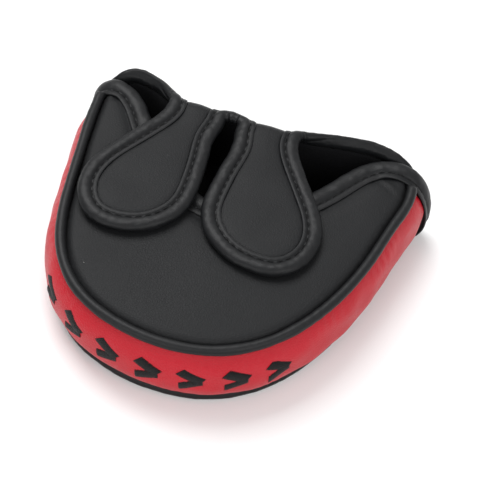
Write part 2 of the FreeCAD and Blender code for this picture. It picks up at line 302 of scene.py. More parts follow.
def turn_outwards(obj: bpy.types.Object) -> bpy.types.Object:
    """Makes a closed shell's faces point outwards.

    Args:
        obj: The shell.

    Returns:
        The same object.
    """
    work = bmesh.new()
    work.from_mesh(obj.data)
    bmesh.ops.recalc_face_normals(work, faces=work.faces)
    work.to_mesh(obj.data)
    work.free()
    return obj


def ring_faces(count: int, ring: int) -> list[tuple[int, ...]]:
    """Faces joining each ring of points to the next."""
    return [(i * ring + j, i * ring + (j + 1) % ring, (i + 1) * ring + (j + 1) % ring,
             (i + 1) * ring + j) for i in range(count - 1) for j in range(ring)]


def tube(name: str, verts: Array, rub: Optional[Array] = None) -> bpy.types.Object:
    """Closes rings of points into one shell with two end caps.

    Args:
        name: The piece's name.
        verts: Points by station and place in the ring.
        rub: Wear of each place in the ring.

    Returns:
        The object.
    """
    count, ring = verts.shape[:2]
    faces = ring_faces(count, ring)
    first = count * ring
    for j in range(ring):
        k = (j + 1) % ring
        faces.append((first, k, j))
        faces.append((first + 1, (count - 1) * ring + j, (count - 1) * ring + k))
    ends = np.stack([verts[0].mean(axis=0), verts[-1].mean(axis=0)])
    run = lengths(verts.mean(axis=1))
    around = lengths(verts[count // 2])
    uv = np.stack(np.meshgrid(run, around, indexing="ij"), axis=-1).reshape(-1, 2)
    uv = np.vstack([uv, [[run[0], 0.0], [run[-1], 0.0]]])
    wear = None
    if rub is not None:
        wear = np.r_[np.broadcast_to(rub, (count, ring)).ravel(), 0.0, 0.0]
    return turn_outwards(make_object(name, np.vstack([verts.reshape(-1, 3), ends]), faces, uv,
                                     wear))


@dataclass
class Sweep:
    """Stations of a section carried along a line."""

    centre: Array
    side: Array
    up: Array

    def object(self, name: str, section: Array, rub: Optional[Array] = None) -> bpy.types.Object:
        """Builds the swept shell.

        Args:
            name: The piece's name.
            section: Section points (side, up), one set or one for each station.
            rub: Wear of each section point.

        Returns:
            The object.
        """
        if section.ndim == 2:
            section = np.repeat(section[None], len(self.centre), axis=0)
        verts = self.centre[:, None] + self.side[:, None] * section[..., 0:1] \
            + self.up[:, None] * section[..., 1:2]
        return tube(name, verts, rub)


def plan_sweep(line: Array, z: float) -> Sweep:
    """Stations along a plan line: side points to the right of travel, up is +z.

    Args:
        line: The plan line.
        z: Its height.

    Returns:
        The stations.
    """
    t = along(line)
    count = len(line)
    centre = np.column_stack([line, np.full(count, z)])
    side = np.column_stack([t[:, 1], -t[:, 0], np.zeros(count)])
    return Sweep(centre, side, np.tile([0.0, 0.0, 1.0], (count, 1)))


def shell(name: str, flat: Array, tris: Sequence[Sequence[int]], border: int,
          top: Array, low: Array, rub: Optional[Array] = None) -> bpy.types.Object:
    """Closes two matching surfaces into one shell.

    Args:
        name: The piece's name.
        flat: The flat points, for the pattern's place on the surface.
        tris: Triangles over the flat points.
        border: How many of the first points form the outline.
        top: The upper surface's points.
        low: The lower surface's points.
        rub: Wear of each flat point.

    Returns:
        The object.
    """
    count = len(flat)
    faces = [list(f) for f in tris] + [[v + count for v in reversed(f)] for f in tris]
    for n in range(border):
        m = (n + 1) % border
        faces.append([n, m, m + count, n + count][::-1])
    wear = None if rub is None else np.r_[rub, rub]
    return turn_outwards(make_object(name, np.vstack([top, low]), faces, np.vstack([flat, flat]),
                                     wear))


# ---------------------------------------------------------------- shader groups and finishes
class Group:
    """A shader node group under construction."""

    def __init__(self, name: str, inputs: dict[str, tuple[str, object]],
                 outputs: dict[str, str]) -> None:
        """Makes the group and its sockets.

        Args:
            name: The group's name.
            inputs: Socket type and default for each input.
            outputs: Socket type for each output.
        """
        self.tree = bpy.data.node_groups.new(name, "ShaderNodeTree")
        for label, (kind, value) in inputs.items():
            socket = self.tree.interface.new_socket(label, in_out="INPUT", socket_type=kind)
            if value is not None:
                socket.default_value = value
        for label, kind in outputs.items():
            self.tree.interface.new_socket(label, in_out="OUTPUT", socket_type=kind)
        self.source = self.tree.nodes.new("NodeGroupInput")
        self.sink = self.tree.nodes.new("NodeGroupOutput")

    def node(self, kind: str, **settings: object) -> bpy.types.Node:
        """Adds a node; settings name its properties."""
        return add_node(self.tree, kind, **settings)

    def link(self, a: bpy.types.NodeSocket, b: bpy.types.NodeSocket) -> None:
        """Joins two sockets."""
        self.tree.links.new(a, b)


def add_node(tree: bpy.types.NodeTree, kind: str, **settings: object) -> bpy.types.Node:
    """Adds a node to a tree.

    Args:
        tree: The tree.
        kind: The node's type.
        settings: Properties to set.

    Returns:
        The node.
    """
    node = tree.nodes.new(kind)
    for key, value in settings.items():
        setattr(node, key, value)
    return node


def set_inputs(node: bpy.types.Node, values: dict[str, object]) -> None:
    """Sets a node's sockets by name."""
    for key, value in values.items():
        node.inputs[key].default_value = value


def noise(tree: bpy.types.NodeTree, place: bpy.types.NodeSocket, scale: float,
          detail: float) -> bpy.types.Node:
    """Adds a noise over a place.

    Args:
        tree: The node tree it goes in.
        place: Where on the piece.
        scale: The noise's scale.
        detail: Its octaves.

    Returns:
        The node.
    """
    node = add_node(tree, "ShaderNodeTexNoise")
    set_inputs(node, {"Scale": scale, "Detail": detail})
    tree.links.new(place, node.inputs["Vector"])
    return node


def emboss(tree: bpy.types.NodeTree, shader: bpy.types.Node, height: bpy.types.NodeSocket,
           depth: float) -> None:
    """Raises a shader's surface by a pattern, its depth in millimetres.

    Args:
        tree: The node tree it goes in.
        shader: The shader.
        height: The pattern's height.
        depth: What a height of one stands for.
    """
    relief = add_node(tree, "ShaderNodeBump")
    relief.inputs["Distance"].default_value = depth * MM
    tree.links.new(height, relief.inputs["Height"])
    tree.links.new(relief.outputs["Normal"], shader.inputs["Normal"])


def sum_node(tree: bpy.types.NodeTree, operation: str, a: object, b: object = 0.0,
             clamp: bool = False) -> bpy.types.NodeSocket:
    """Adds a Math node whose inputs are numbers or sockets, and gives its result.

    Args:
        tree: The node tree it goes in.
        operation: The Math node's operation.
        a: The first input.
        b: The second input.
        clamp: Whether the result is kept within 0 and 1.

    Returns:
        The result.
    """
    node = add_node(tree, "ShaderNodeMath", operation=operation, use_clamp=clamp)
    for n, value in enumerate((a, b)):
        if isinstance(value, bpy.types.NodeSocket):
            tree.links.new(value, node.inputs[n])
        else:
            node.inputs[n].default_value = value
    return node.outputs[0]


def grain_group() -> bpy.types.NodeTree:
    """Leather grain: fine pebbling with softer creases between the pebbles.

    Returns:
        The group's tree.
    """
    g = Group("Leather Grain", {"Vector": ("NodeSocketVector", None),
                                "Pebble": ("NodeSocketFloat", 1.3),
                                "Crease": ("NodeSocketFloat", 0.5)},
              {"Height": "NodeSocketFloat", "Tone": "NodeSocketFloat"})
    tree = g.tree
    place = g.source.outputs["Vector"]
    warp = noise(tree, place, 0.9, 3.0)
    mixed = g.node("ShaderNodeVectorMath", operation="MULTIPLY_ADD")
    mixed.inputs[1].default_value = (0.35, 0.35, 0.35)
    g.link(warp.outputs["Color"], mixed.inputs[0])
    g.link(place, mixed.inputs[2])
    cells = g.node("ShaderNodeTexVoronoi", feature="DISTANCE_TO_EDGE")
    g.link(mixed.outputs[0], cells.inputs["Vector"])
    g.link(g.source.outputs["Pebble"], cells.inputs["Scale"])
    dome = sum_node(tree, "POWER", sum_node(tree, "MULTIPLY", cells.outputs["Distance"], 2.2,
                                            clamp=True), 0.55)
    fine = noise(tree, place, 5.5, 4.0)
    pores = sum_node(tree, "MULTIPLY", fine.outputs["Fac"], 0.6)
    crease = sum_node(tree, "MULTIPLY", dome, g.source.outputs["Crease"])
    g.link(sum_node(tree, "ADD", crease, pores), g.sink.inputs["Height"])
    wide = noise(tree, place, 0.06, 3.0)
    g.link(wide.outputs["Fac"], g.sink.inputs["Tone"])
    return tree


def lint_group() -> bpy.types.NodeTree:
    """Sparse specks of lint and dust.

    Returns:
        The group's tree.
    """
    g = Group("Lint Specks", {"Vector": ("NodeSocketVector", None),
                              "Spacing": ("NodeSocketFloat", 0.16),
                              "Amount": ("NodeSocketFloat", 0.3)}, {"Mask": "NodeSocketFloat"})
    tree = g.tree
    cells = g.node("ShaderNodeTexVoronoi", feature="F1")
    g.link(g.source.outputs["Vector"], cells.inputs["Vector"])
    g.link(g.source.outputs["Spacing"], cells.inputs["Scale"])
    near = sum_node(tree, "LESS_THAN", cells.outputs["Distance"], 0.028)
    split = g.node("ShaderNodeSeparateColor")
    g.link(cells.outputs["Color"], split.inputs[0])
    chosen = sum_node(tree, "LESS_THAN", split.outputs[0], g.source.outputs["Amount"])
    g.link(sum_node(tree, "MULTIPLY", near, chosen), g.sink.inputs["Mask"])
    return tree


def rub_group() -> bpy.types.NodeTree:
    """Wear where hands and the bag rub: the mesh's own wear value, broken up by noise.

    Returns:
        The group's tree.
    """
    g = Group("Edge Rub", {"Vector": ("NodeSocketVector", None),
                           "Amount": ("NodeSocketFloat", 0.6)}, {"Mask": "NodeSocketFloat"})
    tree = g.tree
    wear = g.node("ShaderNodeAttribute", attribute_name="rub")
    patches = noise(tree, g.source.outputs["Vector"], 0.55, 5.0)
    worn = sum_node(tree, "MULTIPLY", wear.outputs["Fac"], patches.outputs["Fac"])
    g.link(sum_node(tree, "MULTIPLY", worn, g.source.outputs["Amount"], clamp=True),
           g.sink.inputs["Mask"])
    return tree


def twist_group() -> bpy.types.NodeTree:
    """Laid strands of a sewing thread, slanting across its length.

    Returns:
        The group's tree.
    """
    g = Group("Thread Twist", {"Vector": ("NodeSocketVector", None),
                               "Strands": ("NodeSocketFloat", 3.0)}, {"Height": "NodeSocketFloat"})
    bands = g.node("ShaderNodeTexWave", wave_type="BANDS", bands_direction="DIAGONAL")
    bands.inputs["Distortion"].default_value = 1.2
    g.link(g.source.outputs["Vector"], bands.inputs["Vector"])
    g.link(g.source.outputs["Strands"], bands.inputs["Scale"])
    g.link(bands.outputs["Fac"], g.sink.inputs["Height"])
    return g.tree


@dataclass(frozen=True)
class Finish:
    """What every finish has: a name and the record's material slot."""

    name: str
    slot: str

    def start(self) -> tuple[bpy.types.Material, bpy.types.NodeTree, bpy.types.Node,
                             bpy.types.NodeSocket]:
        """Makes the material, its shader and a place on the piece in millimetres.

        Returns:
            The material, its tree, its shader and the place.
        """
        material = bpy.data.materials.new(self.name)
        material.use_nodes = True
        tree = material.node_tree
        shader = next(n for n in tree.nodes if n.type == "BSDF_PRINCIPLED")
        place = add_node(tree, "ShaderNodeTexCoord")
        scale = add_node(tree, "ShaderNodeMapping")
        scale.inputs["Scale"].default_value = (1 / MM, 1 / MM, 1 / MM)
        tree.links.new(place.outputs["Object"], scale.inputs["Vector"])
        return material, tree, shader, scale.outputs["Vector"]


def placed_group(tree: bpy.types.NodeTree, group: bpy.types.NodeTree, vector: bpy.types.NodeSocket,
                 **values: float) -> bpy.types.Node:
    """Places a group in a material with its own values.

    Args:
        tree: The node tree it goes in.
        group: The group.
        vector: Where on the piece.
        values: Values for the group's inputs.

    Returns:
        The node.
    """
    node = add_node(tree, "ShaderNodeGroup", node_tree=group)
    tree.links.new(vector, node.inputs["Vector"])
    set_inputs(node, values)
    return node


def blend_colour(tree: bpy.types.NodeTree, share: bpy.types.NodeSocket, a: object,
                 b: object) -> bpy.types.NodeSocket:
    """Mixes two colours, each a socket or a plain colour, by a share.

    Args:
        tree: The node tree it goes in.
        share: How much of the second colour shows.
        a: The first colour.
        b: The second colour.

    Returns:
        The mixed colour.
    """
    node = add_node(tree, "ShaderNodeMix", data_type="RGBA")
    tree.links.new(share, node.inputs[0])
    for n, value in ((6, a), (7, b)):
        if isinstance(value, bpy.types.NodeSocket):
            tree.links.new(value, node.inputs[n])
        else:
            node.inputs[n].default_value = (*value, 1.0)
    return node.outputs[2]


@dataclass(frozen=True)
class Leather(Finish):
    """Coated leather with a fine grain, lint and rubbed edges."""

    colour: tuple[float, float, float] = (0.0095, 0.01, 0.0108)
    shade: tuple[float, float, float] = (0.0065, 0.0069, 0.0077)
    worn: tuple[float, float, float] = (0.06, 0.06, 0.062)
    rough: float = 0.5
    spread: float = 0.1
    specular: float = 0.2
    sheen: float = 0.0
    pebble: float = 1.05
    crease: float = 0.5
    depth: float = 0.12
    lint: float = 0.25
    speck: tuple[float, float, float] = (0.55, 0.53, 0.5)

    def material(self, groups: dict[str, bpy.types.NodeTree]) -> bpy.types.Material:
        """Builds the material.

        Args:
            groups: The shared shader groups by name.

        Returns:
            The material.
        """
        material, tree, shader, place = self.start()
        grain = placed_group(tree, groups["grain"], place, Pebble=self.pebble,
                             Crease=self.crease)
        specks = placed_group(tree, groups["lint"], place, Amount=self.lint)
        rub = placed_group(tree, groups["rub"], place, Amount=1.0)
        base = blend_colour(tree, grain.outputs["Tone"], self.shade, self.colour)
        base = blend_colour(tree, rub.outputs["Mask"], base, self.worn)
        base = blend_colour(tree, specks.outputs["Mask"], base, self.speck)
        tree.links.new(base, shader.inputs["Base Color"])
        vary = sum_node(tree, "MULTIPLY", grain.outputs["Tone"], self.spread)
        rough = sum_node(tree, "ADD", vary, self.rough - self.spread / 2, clamp=True)
        tree.links.new(rough, shader.inputs["Roughness"])
        emboss(tree, shader, grain.outputs["Height"], self.depth)
        set_inputs(shader, {"Specular IOR Level": self.specular, "Sheen Weight": self.sheen,
                            "Sheen Roughness": 0.4})
        return material


@dataclass(frozen=True)
class Thread(Finish):
    """Twisted polyester thread, with painted shade in the grooves between its strands."""

    colour: tuple[float, float, float] = (0.0045, 0.0045, 0.005)
    rough: float = 0.5
    strands: float = 3.0
    depth: float = 0.05

    def material(self, groups: dict[str, bpy.types.NodeTree]) -> bpy.types.Material:
        """Builds the material from the shared groups.

        Args:
            groups: The shared shader groups by name.

        Returns:
            The material.
        """
        material, tree, shader, place = self.start()
        twist = placed_group(tree, groups["twist"], place, Strands=self.strands)
        # Painted shade: a darker copy of the thread colour is laid into the low grooves between
        # the twisted strands.
        strand_shade = tuple(0.55 * c for c in self.colour)
        base = blend_colour(tree, twist.outputs["Height"], strand_shade, self.colour)
        tree.links.new(base, shader.inputs["Base Color"])
        emboss(tree, shader, twist.outputs["Height"], self.depth)
        set_inputs(shader, {"Roughness": self.rough, "Specular IOR Level": 0.25})
        return material


@dataclass(frozen=True)
class Plush(Finish):
    """Brushed lining cloth, or open foam, with a soft broken surface."""

    colour: tuple[float, float, float] = (0.003, 0.003, 0.0035)
    pale: tuple[float, float, float] = (0.009, 0.009, 0.01)
    scale: float = 2.2
    depth: float = 0.25
    sheen: float = 0.02
    speck: tuple[float, float, float] = (0.3, 0.3, 0.3)

    def material(self, groups: dict[str, bpy.types.NodeTree]) -> bpy.types.Material:
        """Builds the material; the pile is a noise of its own.

        Args:
            groups: The shared shader groups by name.

        Returns:
            The material.
        """
        material, tree, shader, place = self.start()
        pile = noise(tree, place, self.scale, 6.0)
        specks = placed_group(tree, groups["lint"], place, Amount=0.2)
        base = blend_colour(tree, pile.outputs["Fac"], self.colour, self.pale)
        base = blend_colour(tree, specks.outputs["Mask"], base, self.speck)
        tree.links.new(base, shader.inputs["Base Color"])
        emboss(tree, shader, pile.outputs["Fac"], self.depth)
        set_inputs(shader, {"Roughness": 0.95, "Specular IOR Level": 0.08,
                            "Sheen Weight": self.sheen})
        return material


@dataclass(frozen=True)
class Plated(Finish):
    """Turned and plated steel of the hidden discs."""

    colour: tuple[float, float, float] = (0.5, 0.5, 0.52)
    rough: float = 0.32

    def material(self, groups: dict[str, bpy.types.NodeTree]) -> bpy.types.Material:
        """Builds the material, with fine scratches from the shared grain.

        Args:
            groups: The shared shader groups by name.

        Returns:
            The material.
        """
        material, tree, shader, place = self.start()
        grain = placed_group(tree, groups["grain"], place, Pebble=6.0, Crease=0.1)
        base = blend_colour(tree, grain.outputs["Tone"], tuple(0.8 * c for c in self.colour),
                            self.colour)
        tree.links.new(base, shader.inputs["Base Color"])
        vary = sum_node(tree, "MULTIPLY", grain.outputs["Height"], 0.15)
        tree.links.new(sum_node(tree, "ADD", vary, self.rough), shader.inputs["Roughness"])
        shader.inputs["Metallic"].default_value = 1.0
        return material


class Wardrobe:
    """The finishes, built once and given out by name."""

    def __init__(self) -> None:
        """Builds the shared groups and every material."""
        self.groups = {"grain": grain_group(), "lint": lint_group(), "rub": rub_group(),
                       "twist": twist_group()}
        finishes = [
            Leather("Black Panel Leather", "black_leather", rough=0.5, sheen=0.02),
            Leather("Black Binding Leather", "trim_leather", rough=0.42, pebble=1.5, crease=0.3,
                    depth=0.06, specular=0.2, colour=(0.0075, 0.0079, 0.0086)),
            Leather("Red Band Leather", "red_leather", colour=(0.455, 0.006, 0.017),
                    shade=(0.385, 0.005, 0.013), worn=(0.52, 0.018, 0.033), rough=0.38,
                    pebble=1.0, crease=0.7, depth=0.14, specular=0.24, lint=0.05),
            Thread("Black Sewing Thread", "black_thread"),
            Plush("Plush Lining", "lining"),
            Plush("Foam Padding", "foam", colour=(0.1, 0.1, 0.105), pale=(0.16, 0.16, 0.165),
                  scale=1.4, depth=0.35, sheen=0.0),
            Plated("Steel Keeper", "steel"),
            Plated("Plated Magnet", "magnet", colour=(0.6, 0.6, 0.62), rough=0.22),
        ]
        self.slots = {f.slot: f.material(self.groups) for f in finishes}

    def dress(self, obj: bpy.types.Object, slot: str) -> bpy.types.Object:
        """Gives a piece the finish of a material slot.

        Args:
            obj: The piece.
            slot: Its material slot.

        Returns:
            The same piece.
        """
        obj.data.materials.clear()
        obj.data.materials.append(self.slots[slot])
        return obj


# ---------------------------------------------------------------- sewing
@dataclass(frozen=True)
class Stitch:
    """A stitch's sizes in millimetres, and how it lies along its line.

    Slant and wander are turns in radians; dip is how far its ends dive into the leather.
    """

    length: float = 2.7
    radius: float = 0.28
    pitch: float = 3.6
    slant: float = 0.0
    wander: float = 0.04
    dip: float = 0.25
    rings: int = 7
    sides: int = 7

    def object(self, name: str) -> bpy.types.Object:
        """Builds one bowed thread along x, its middle at the origin.

        Args:
            name: The object's name.

        Returns:
            The stitch.
        """
        verts = []
        for s in np.linspace(-1, 1, self.rings):
            r = self.radius * (1 - 0.55 * abs(s) ** 4)
            for n in range(self.sides):
                a = 2 * math.pi * n / self.sides
                verts.append((s * self.length / 2, r * math.cos(a),
                              r * math.sin(a) - self.dip * s * s))
        last = (self.rings - 1) * self.sides
        faces = ring_faces(self.rings, self.sides) + [
            tuple(range(self.sides))[::-1], tuple(last + n for n in range(self.sides))]
        mesh = bpy.data.meshes.new(name)
        mesh.from_pydata([tuple(MM * c for c in v) for v in verts], [], faces)
        mesh.polygons.foreach_set("use_smooth", [True] * len(mesh.polygons))
        obj = bpy.data.objects.new(name, mesh)
        bpy.context.scene.collection.objects.link(obj)
        return turn_outwards(obj)


SEAM = Stitch()
SATIN = Stitch(length=4.6, radius=0.26, pitch=0.36, slant=1.25, wander=0.05, dip=0.3)


def stitch_tree() -> bpy.types.NodeTree:
    """Geometry Nodes tree that lays a stitch at even steps along a line.

    Returns:
        The tree.
    """
    tree = bpy.data.node_groups.new("Stitch Run", "GeometryNodeTree")
    for label, kind in (("Geometry", "Geometry"), ("Stitch", "Object"), ("Pitch", "Float"),
                        ("Slant", "Float"), ("Wander", "Float"), ("Seed", "Int"),
                        ("Material", "Material")):
        tree.interface.new_socket(label, in_out="INPUT", socket_type="NodeSocket" + kind)
    tree.interface.new_socket("Geometry", in_out="OUTPUT", socket_type="NodeSocketGeometry")
    nodes = {key: add_node(tree, kind, **settings) for key, kind, settings in (
        ("in", "NodeGroupInput", {}),
        ("out", "NodeGroupOutput", {}),
        ("curve", "GeometryNodeMeshToCurve", {}),
        ("points", "GeometryNodeCurveToPoints", {"mode": "LENGTH"}),
        ("up", "GeometryNodeInputNamedAttribute", {"data_type": "FLOAT_VECTOR"}),
        ("turn", "FunctionNodeAxesToRotation", {"primary_axis": "Z", "secondary_axis": "X"}),
        ("wander", "FunctionNodeRandomValue", {"data_type": "FLOAT"}),
        ("other", "ShaderNodeMath", {"operation": "MULTIPLY"}),
        ("total", "ShaderNodeMath", {"operation": "ADD"}),
        ("slant", "FunctionNodeAxisAngleToRotation", {}),
        ("rotation", "FunctionNodeRotateRotation", {"rotation_space": "LOCAL"}),
        ("info", "GeometryNodeObjectInfo", {"transform_space": "ORIGINAL"}),
        ("laid", "GeometryNodeInstanceOnPoints", {}),
        ("real", "GeometryNodeRealizeInstances", {}),
        ("paint", "GeometryNodeSetMaterial", {}))}
    nodes["up"].inputs["Name"].default_value = "up"
    nodes["other"].inputs[1].default_value = -1.0
    nodes["slant"].inputs["Axis"].default_value = (0.0, 0.0, 1.0)
    for source, output, target, into in (
            ("in", "Geometry", "curve", 0), ("curve", 0, "points", "Curve"),
            ("in", "Pitch", "points", "Length"), ("up", 0, "turn", 0),
            ("points", "Tangent", "turn", 1), ("in", "Seed", "wander", "Seed"),
            ("in", "Wander", "other", 0), ("other", 0, "wander", 2), ("in", "Wander", "wander", 3),
            ("in", "Slant", "total", 0), ("wander", 1, "total", 1), ("total", 0, "slant", "Angle"),
            ("turn", 0, "rotation", 0), ("slant", 0, "rotation", 1), ("in", "Stitch", "info", 0),
            ("points", "Points", "laid", "Points"), ("info", "Geometry", "laid", "Instance"),
            ("rotation", 0, "laid", "Rotation"), ("laid", 0, "real", 0), ("real", 0, "paint", 0),
            ("in", "Material", "paint", "Material"), ("paint", 0, "out", 0)):
        tree.links.new(nodes[source].outputs[output], nodes[target].inputs[into])
    return tree


@dataclass
class Sewing:
    """Lays stitches along lines on the leather."""

    wardrobe: Wardrobe
    tree: bpy.types.NodeTree = field(default_factory=stitch_tree)

    def run(self, name: str, lines: Sequence[tuple[Array, Array]], stitch: Stitch = SEAM,
            seed: int = 1) -> bpy.types.Object:
        """Sews along one or more lines.

        Args:
            name: The piece's name.
            lines: Each line's points and the leather's outward direction at each.
            stitch: The stitch to lay.
            seed: Picks how the stitches stray.

        Returns:
            The stitches as one plain mesh.
        """
        one = stitch.object(name + "_one")
        verts = np.vstack([line for line, _ in lines])
        ups = np.vstack([up for _, up in lines])
        mesh = bpy.data.meshes.new(name + "_line")
        edges, first = [], 0
        for line, _ in lines:
            edges += [(first + n, first + n + 1) for n in range(len(line) - 1)]
            first += len(line)
        mesh.from_pydata(((verts - [0, DEPTH_SHIFT, 0]) * MM).tolist(), edges, [])
        attribute = mesh.attributes.new("up", "FLOAT_VECTOR", "POINT")
        attribute.data.foreach_set("vector", ups.astype(np.float32).ravel())
        guide = bpy.data.objects.new(name + "_line", mesh)
        bpy.context.scene.collection.objects.link(guide)
        modifier = guide.modifiers.new("stitches", "NODES")
        modifier.node_group = self.tree
        values = {"Stitch": one, "Pitch": stitch.pitch * MM, "Slant": stitch.slant,
                  "Wander": stitch.wander,
                  "Seed": seed, "Material": self.wardrobe.slots["black_thread"]}
        for item in self.tree.interface.items_tree:
            if item.in_out == "INPUT" and item.name in values:
                modifier[item.identifier] = values[item.name]
        graph = bpy.context.evaluated_depsgraph_get()
        graph.update()
        plain = bpy.data.meshes.new_from_object(guide.evaluated_get(graph))
        plain.name = name
        obj = bpy.data.objects.new(name, plain)
        bpy.context.scene.collection.objects.link(obj)
        bpy.data.objects.remove(guide)
        bpy.data.objects.remove(one)
        plain.polygons.foreach_set("use_smooth", [True] * len(plain.polygons))
        return self.wardrobe.dress(obj, "black_thread")


# ---------------------------------------------------------------- the pocket
@dataclass
class Pocket:
    """The D-shaped pocket: flat layers, swollen side band, piping, lip binding and motif."""

    wardrobe: Wardrobe
    sewing: Sewing
    body: str = "pocket"
    roof_z: float = 31.2
    crown: float = 1.3
    band_low: float = 3.6
    band_high: float = 29.3
    band_bulge: float = 5.5
    band_skin: float = 1.2
    piping: float = 1.9
    lip_z: float = 29.9
    spacing: float = 1.25
    hinge_y: float = 102.9
    end_y: tuple[float, float] = (101.2, 102.9)
    flare_run: float = 16.0
    flare_out: float = 1.5
    flare_in: float = 2.6

    def settle(self, obj: bpy.types.Object, slot: str, *nodes: str) -> bpy.types.Object:
        """Dresses a piece, fixes it to the pocket and lets it stand for its CAD nodes.

        Args:
            obj: The piece.
            slot: Its material slot.
            nodes: The CAD nodes it stands for.

        Returns:
            The same piece.
        """
        self.wardrobe.dress(obj, slot)
        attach(obj, self.body)
        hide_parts(*nodes)
        LOG.info("%s: %d faces", obj.name, len(obj.data.polygons))
        return obj

    def rim(self, step: float) -> Array:
        """Piping centre line in plan."""
        return spline(RIM, step)

    def lip_plan(self, step: float) -> Array:
        """Lip binding's centre line in plan, left to right."""
        points = [(-x, y) for x, y in reversed(LIP_HALF)] + [(0.0, 61.5)] + LIP_HALF
        return spline(points, step)

    def base_outline(self, inset: float) -> Array:
        """Closed outline of the bottom layers.

        Args:
            inset: How far in from the edge.

        Returns:
            The outline.
        """
        edge = shifted(self.rim(1.2), inset)
        corners = np.array([[edge[-1, 0], self.hinge_y], [edge[0, 0], self.hinge_y], edge[0]])
        return np.vstack([edge[:-1], even(np.vstack([edge[-1:], corners]), 1.2)[:-1]])

    def roof_outline(self, inset: float, back: float) -> Array:
        """Closed outline of the top layers, cut back from the lip.

        Args:
            inset: How far in from the edge.
            back: How far back from the lip's centre line.

        Returns:
            The outline.
        """
        edge = shifted(self.rim(1.2), inset)
        lip = shifted(self.lip_plan(1.2), -back)[::-1]
        right = even(np.vstack([edge[-1], lip[0]]), 1.2)[1:-1]
        left = even(np.vstack([lip[-1], edge[0]]), 1.2)[1:-1]
        return np.vstack([edge, right, lip, left])

    def base(self) -> None:
        """Bottom panel, its foam and its lining."""
        for name, slot, low, high, inset, soft in (
                ("bottom_panel", "black_leather", 0.0, 1.2, 1.6, 0.35),
                ("bottom_padding", "foam", 1.25, 3.4, 2.2, 0.3),
                ("bottom_lining", "lining", 3.45, 4.3, 2.2, 0.5)):
            ring = self.base_outline(inset)
            flat, tris = fill(ring, 2.0)
            d = gap_to_ring(flat, ring)
            wave = ripple(flat, 22.0, 5)
            lift = soft * wave * smooth(d / 12)
            top = np.column_stack([flat, high + lift - 0.5 * bump(d, 1.5)])
            hollow = 0.9 * bump(d, 2.2) + 0.12 * np.maximum(1 + ripple(flat, 30.0, 6), 0.0)
            under = np.column_stack([flat, low + hollow * (low == 0.0)])
            obj = shell(name, flat, tris, len(ring), top, under)
            self.settle(obj, slot, name)

    def roof_surface(self, flat: Array, d: Array) -> Array:
        """Height of the top panel's face.

        Args:
            flat: Places in plan.
            d: Their distance from the panel's sewn edge.

        Returns:
            The height of each.
        """
        lip = gap_to(flat, self.lip_plan(1.5))
        z = self.roof_z - 0.25 + self.crown * (1 - np.exp(-d / 7.0)) * smooth((lip - 3.5) / 9.0)
        z -= 3.0 * bump(d, 1.35) + 0.35 * bump(lip - 6.8, 1.0)
        z += 0.16 * ripple(flat, 34.0, 11) * smooth(d / 14)
        for cx, cy, angle, length, depth in ((57.0, 94.5, 2.6, 9.0, 0.3),
                                             (54.0, 96.0, 2.75, 7.0, 0.22),
                                             (-53.0, 96.0, 0.5, 7.0, 0.2)):
            u = (flat[:, 0] - cx) * math.cos(angle) + (flat[:, 1] - cy) * math.sin(angle)
            v = -(flat[:, 0] - cx) * math.sin(angle) + (flat[:, 1] - cy) * math.cos(angle)
            z += depth * bump(u, length / 2) * (bump(v, 0.8) - 0.8 * bump(v - 1.6, 0.9))
        return z

    def roof(self) -> None:
        """Top panel, its foam and its lining."""
        ring = self.roof_outline(1.4, 1.9)
        flat, tris = fill(ring, self.spacing)
        edge = shifted(self.rim(1.0), 1.4)
        d = gap_to(flat, edge)
        high = self.roof_surface(flat, d)
        top = np.column_stack([flat, high])
        under = np.column_stack([flat, np.minimum(high - 0.9, 30.4)])
        panel = shell("top_panel", flat, tris, len(ring), top, under,
                      0.5 * bump(d, 2.0))
        self.settle(panel, "black_leather", "top_panel")
        for name, slot, low, high_z in (("top_padding", "foam", 28.2, 30.35),
                                        ("top_lining", "lining", 27.2, 28.1)):
            ring = self.roof_outline(5.0 if slot == "foam" else 2.2, 2.1)
            flat, tris = fill(ring, 2.0)
            gap = gap_to_ring(flat, ring)
            top = np.column_stack([flat, high_z - 0.9 * bump(gap, 2.0)])
            sag = 0.5 * ripple(flat, 24.0, 9) * smooth(gap / 10) * (slot == "lining")
            under = np.column_stack([flat, low + 0.3 * bump(gap, 2.0) - sag - 0.3])
            obj = shell(name, flat, tris, len(ring), top, under)
            self.settle(obj, slot, name)

    def band_profile(self, inset: float) -> Callable[[Array], Array]:
        """Outward reach of the swollen band by height, an inset in from its face.

        Args:
            inset: How far in from the band's face.

        Returns:
            A function from height to reach.
        """
        middle = (self.band_low + self.band_high) / 2
        half = (self.band_high - self.band_low) / 2

        def reach(z: Array) -> Array:
            """Reach at each height."""
            q = np.clip(np.abs(z - middle) / half, 0, 1)
            return 0.2 + (self.band_bulge - 0.2) * (1 - q ** 2.3) ** 0.85 - inset
        return reach

    def flare(self, s: Array, total: float, z: Array) -> Array:
        """How much further out the band stands towards its two ends, by place along it.

        Args:
            s: Distance along the band.
            total: The band's length.
            z: Height.

        Returns:
            The extra reach.
        """
        run = self.flare_run
        out = smooth((s - (total - run)) / run) * self.flare_out \
            - smooth((run - s) / run) * self.flare_in
        share = np.clip((z - self.band_low) / (self.band_high - self.band_low), 0, 1)
        return out * np.sin(math.pi * share)

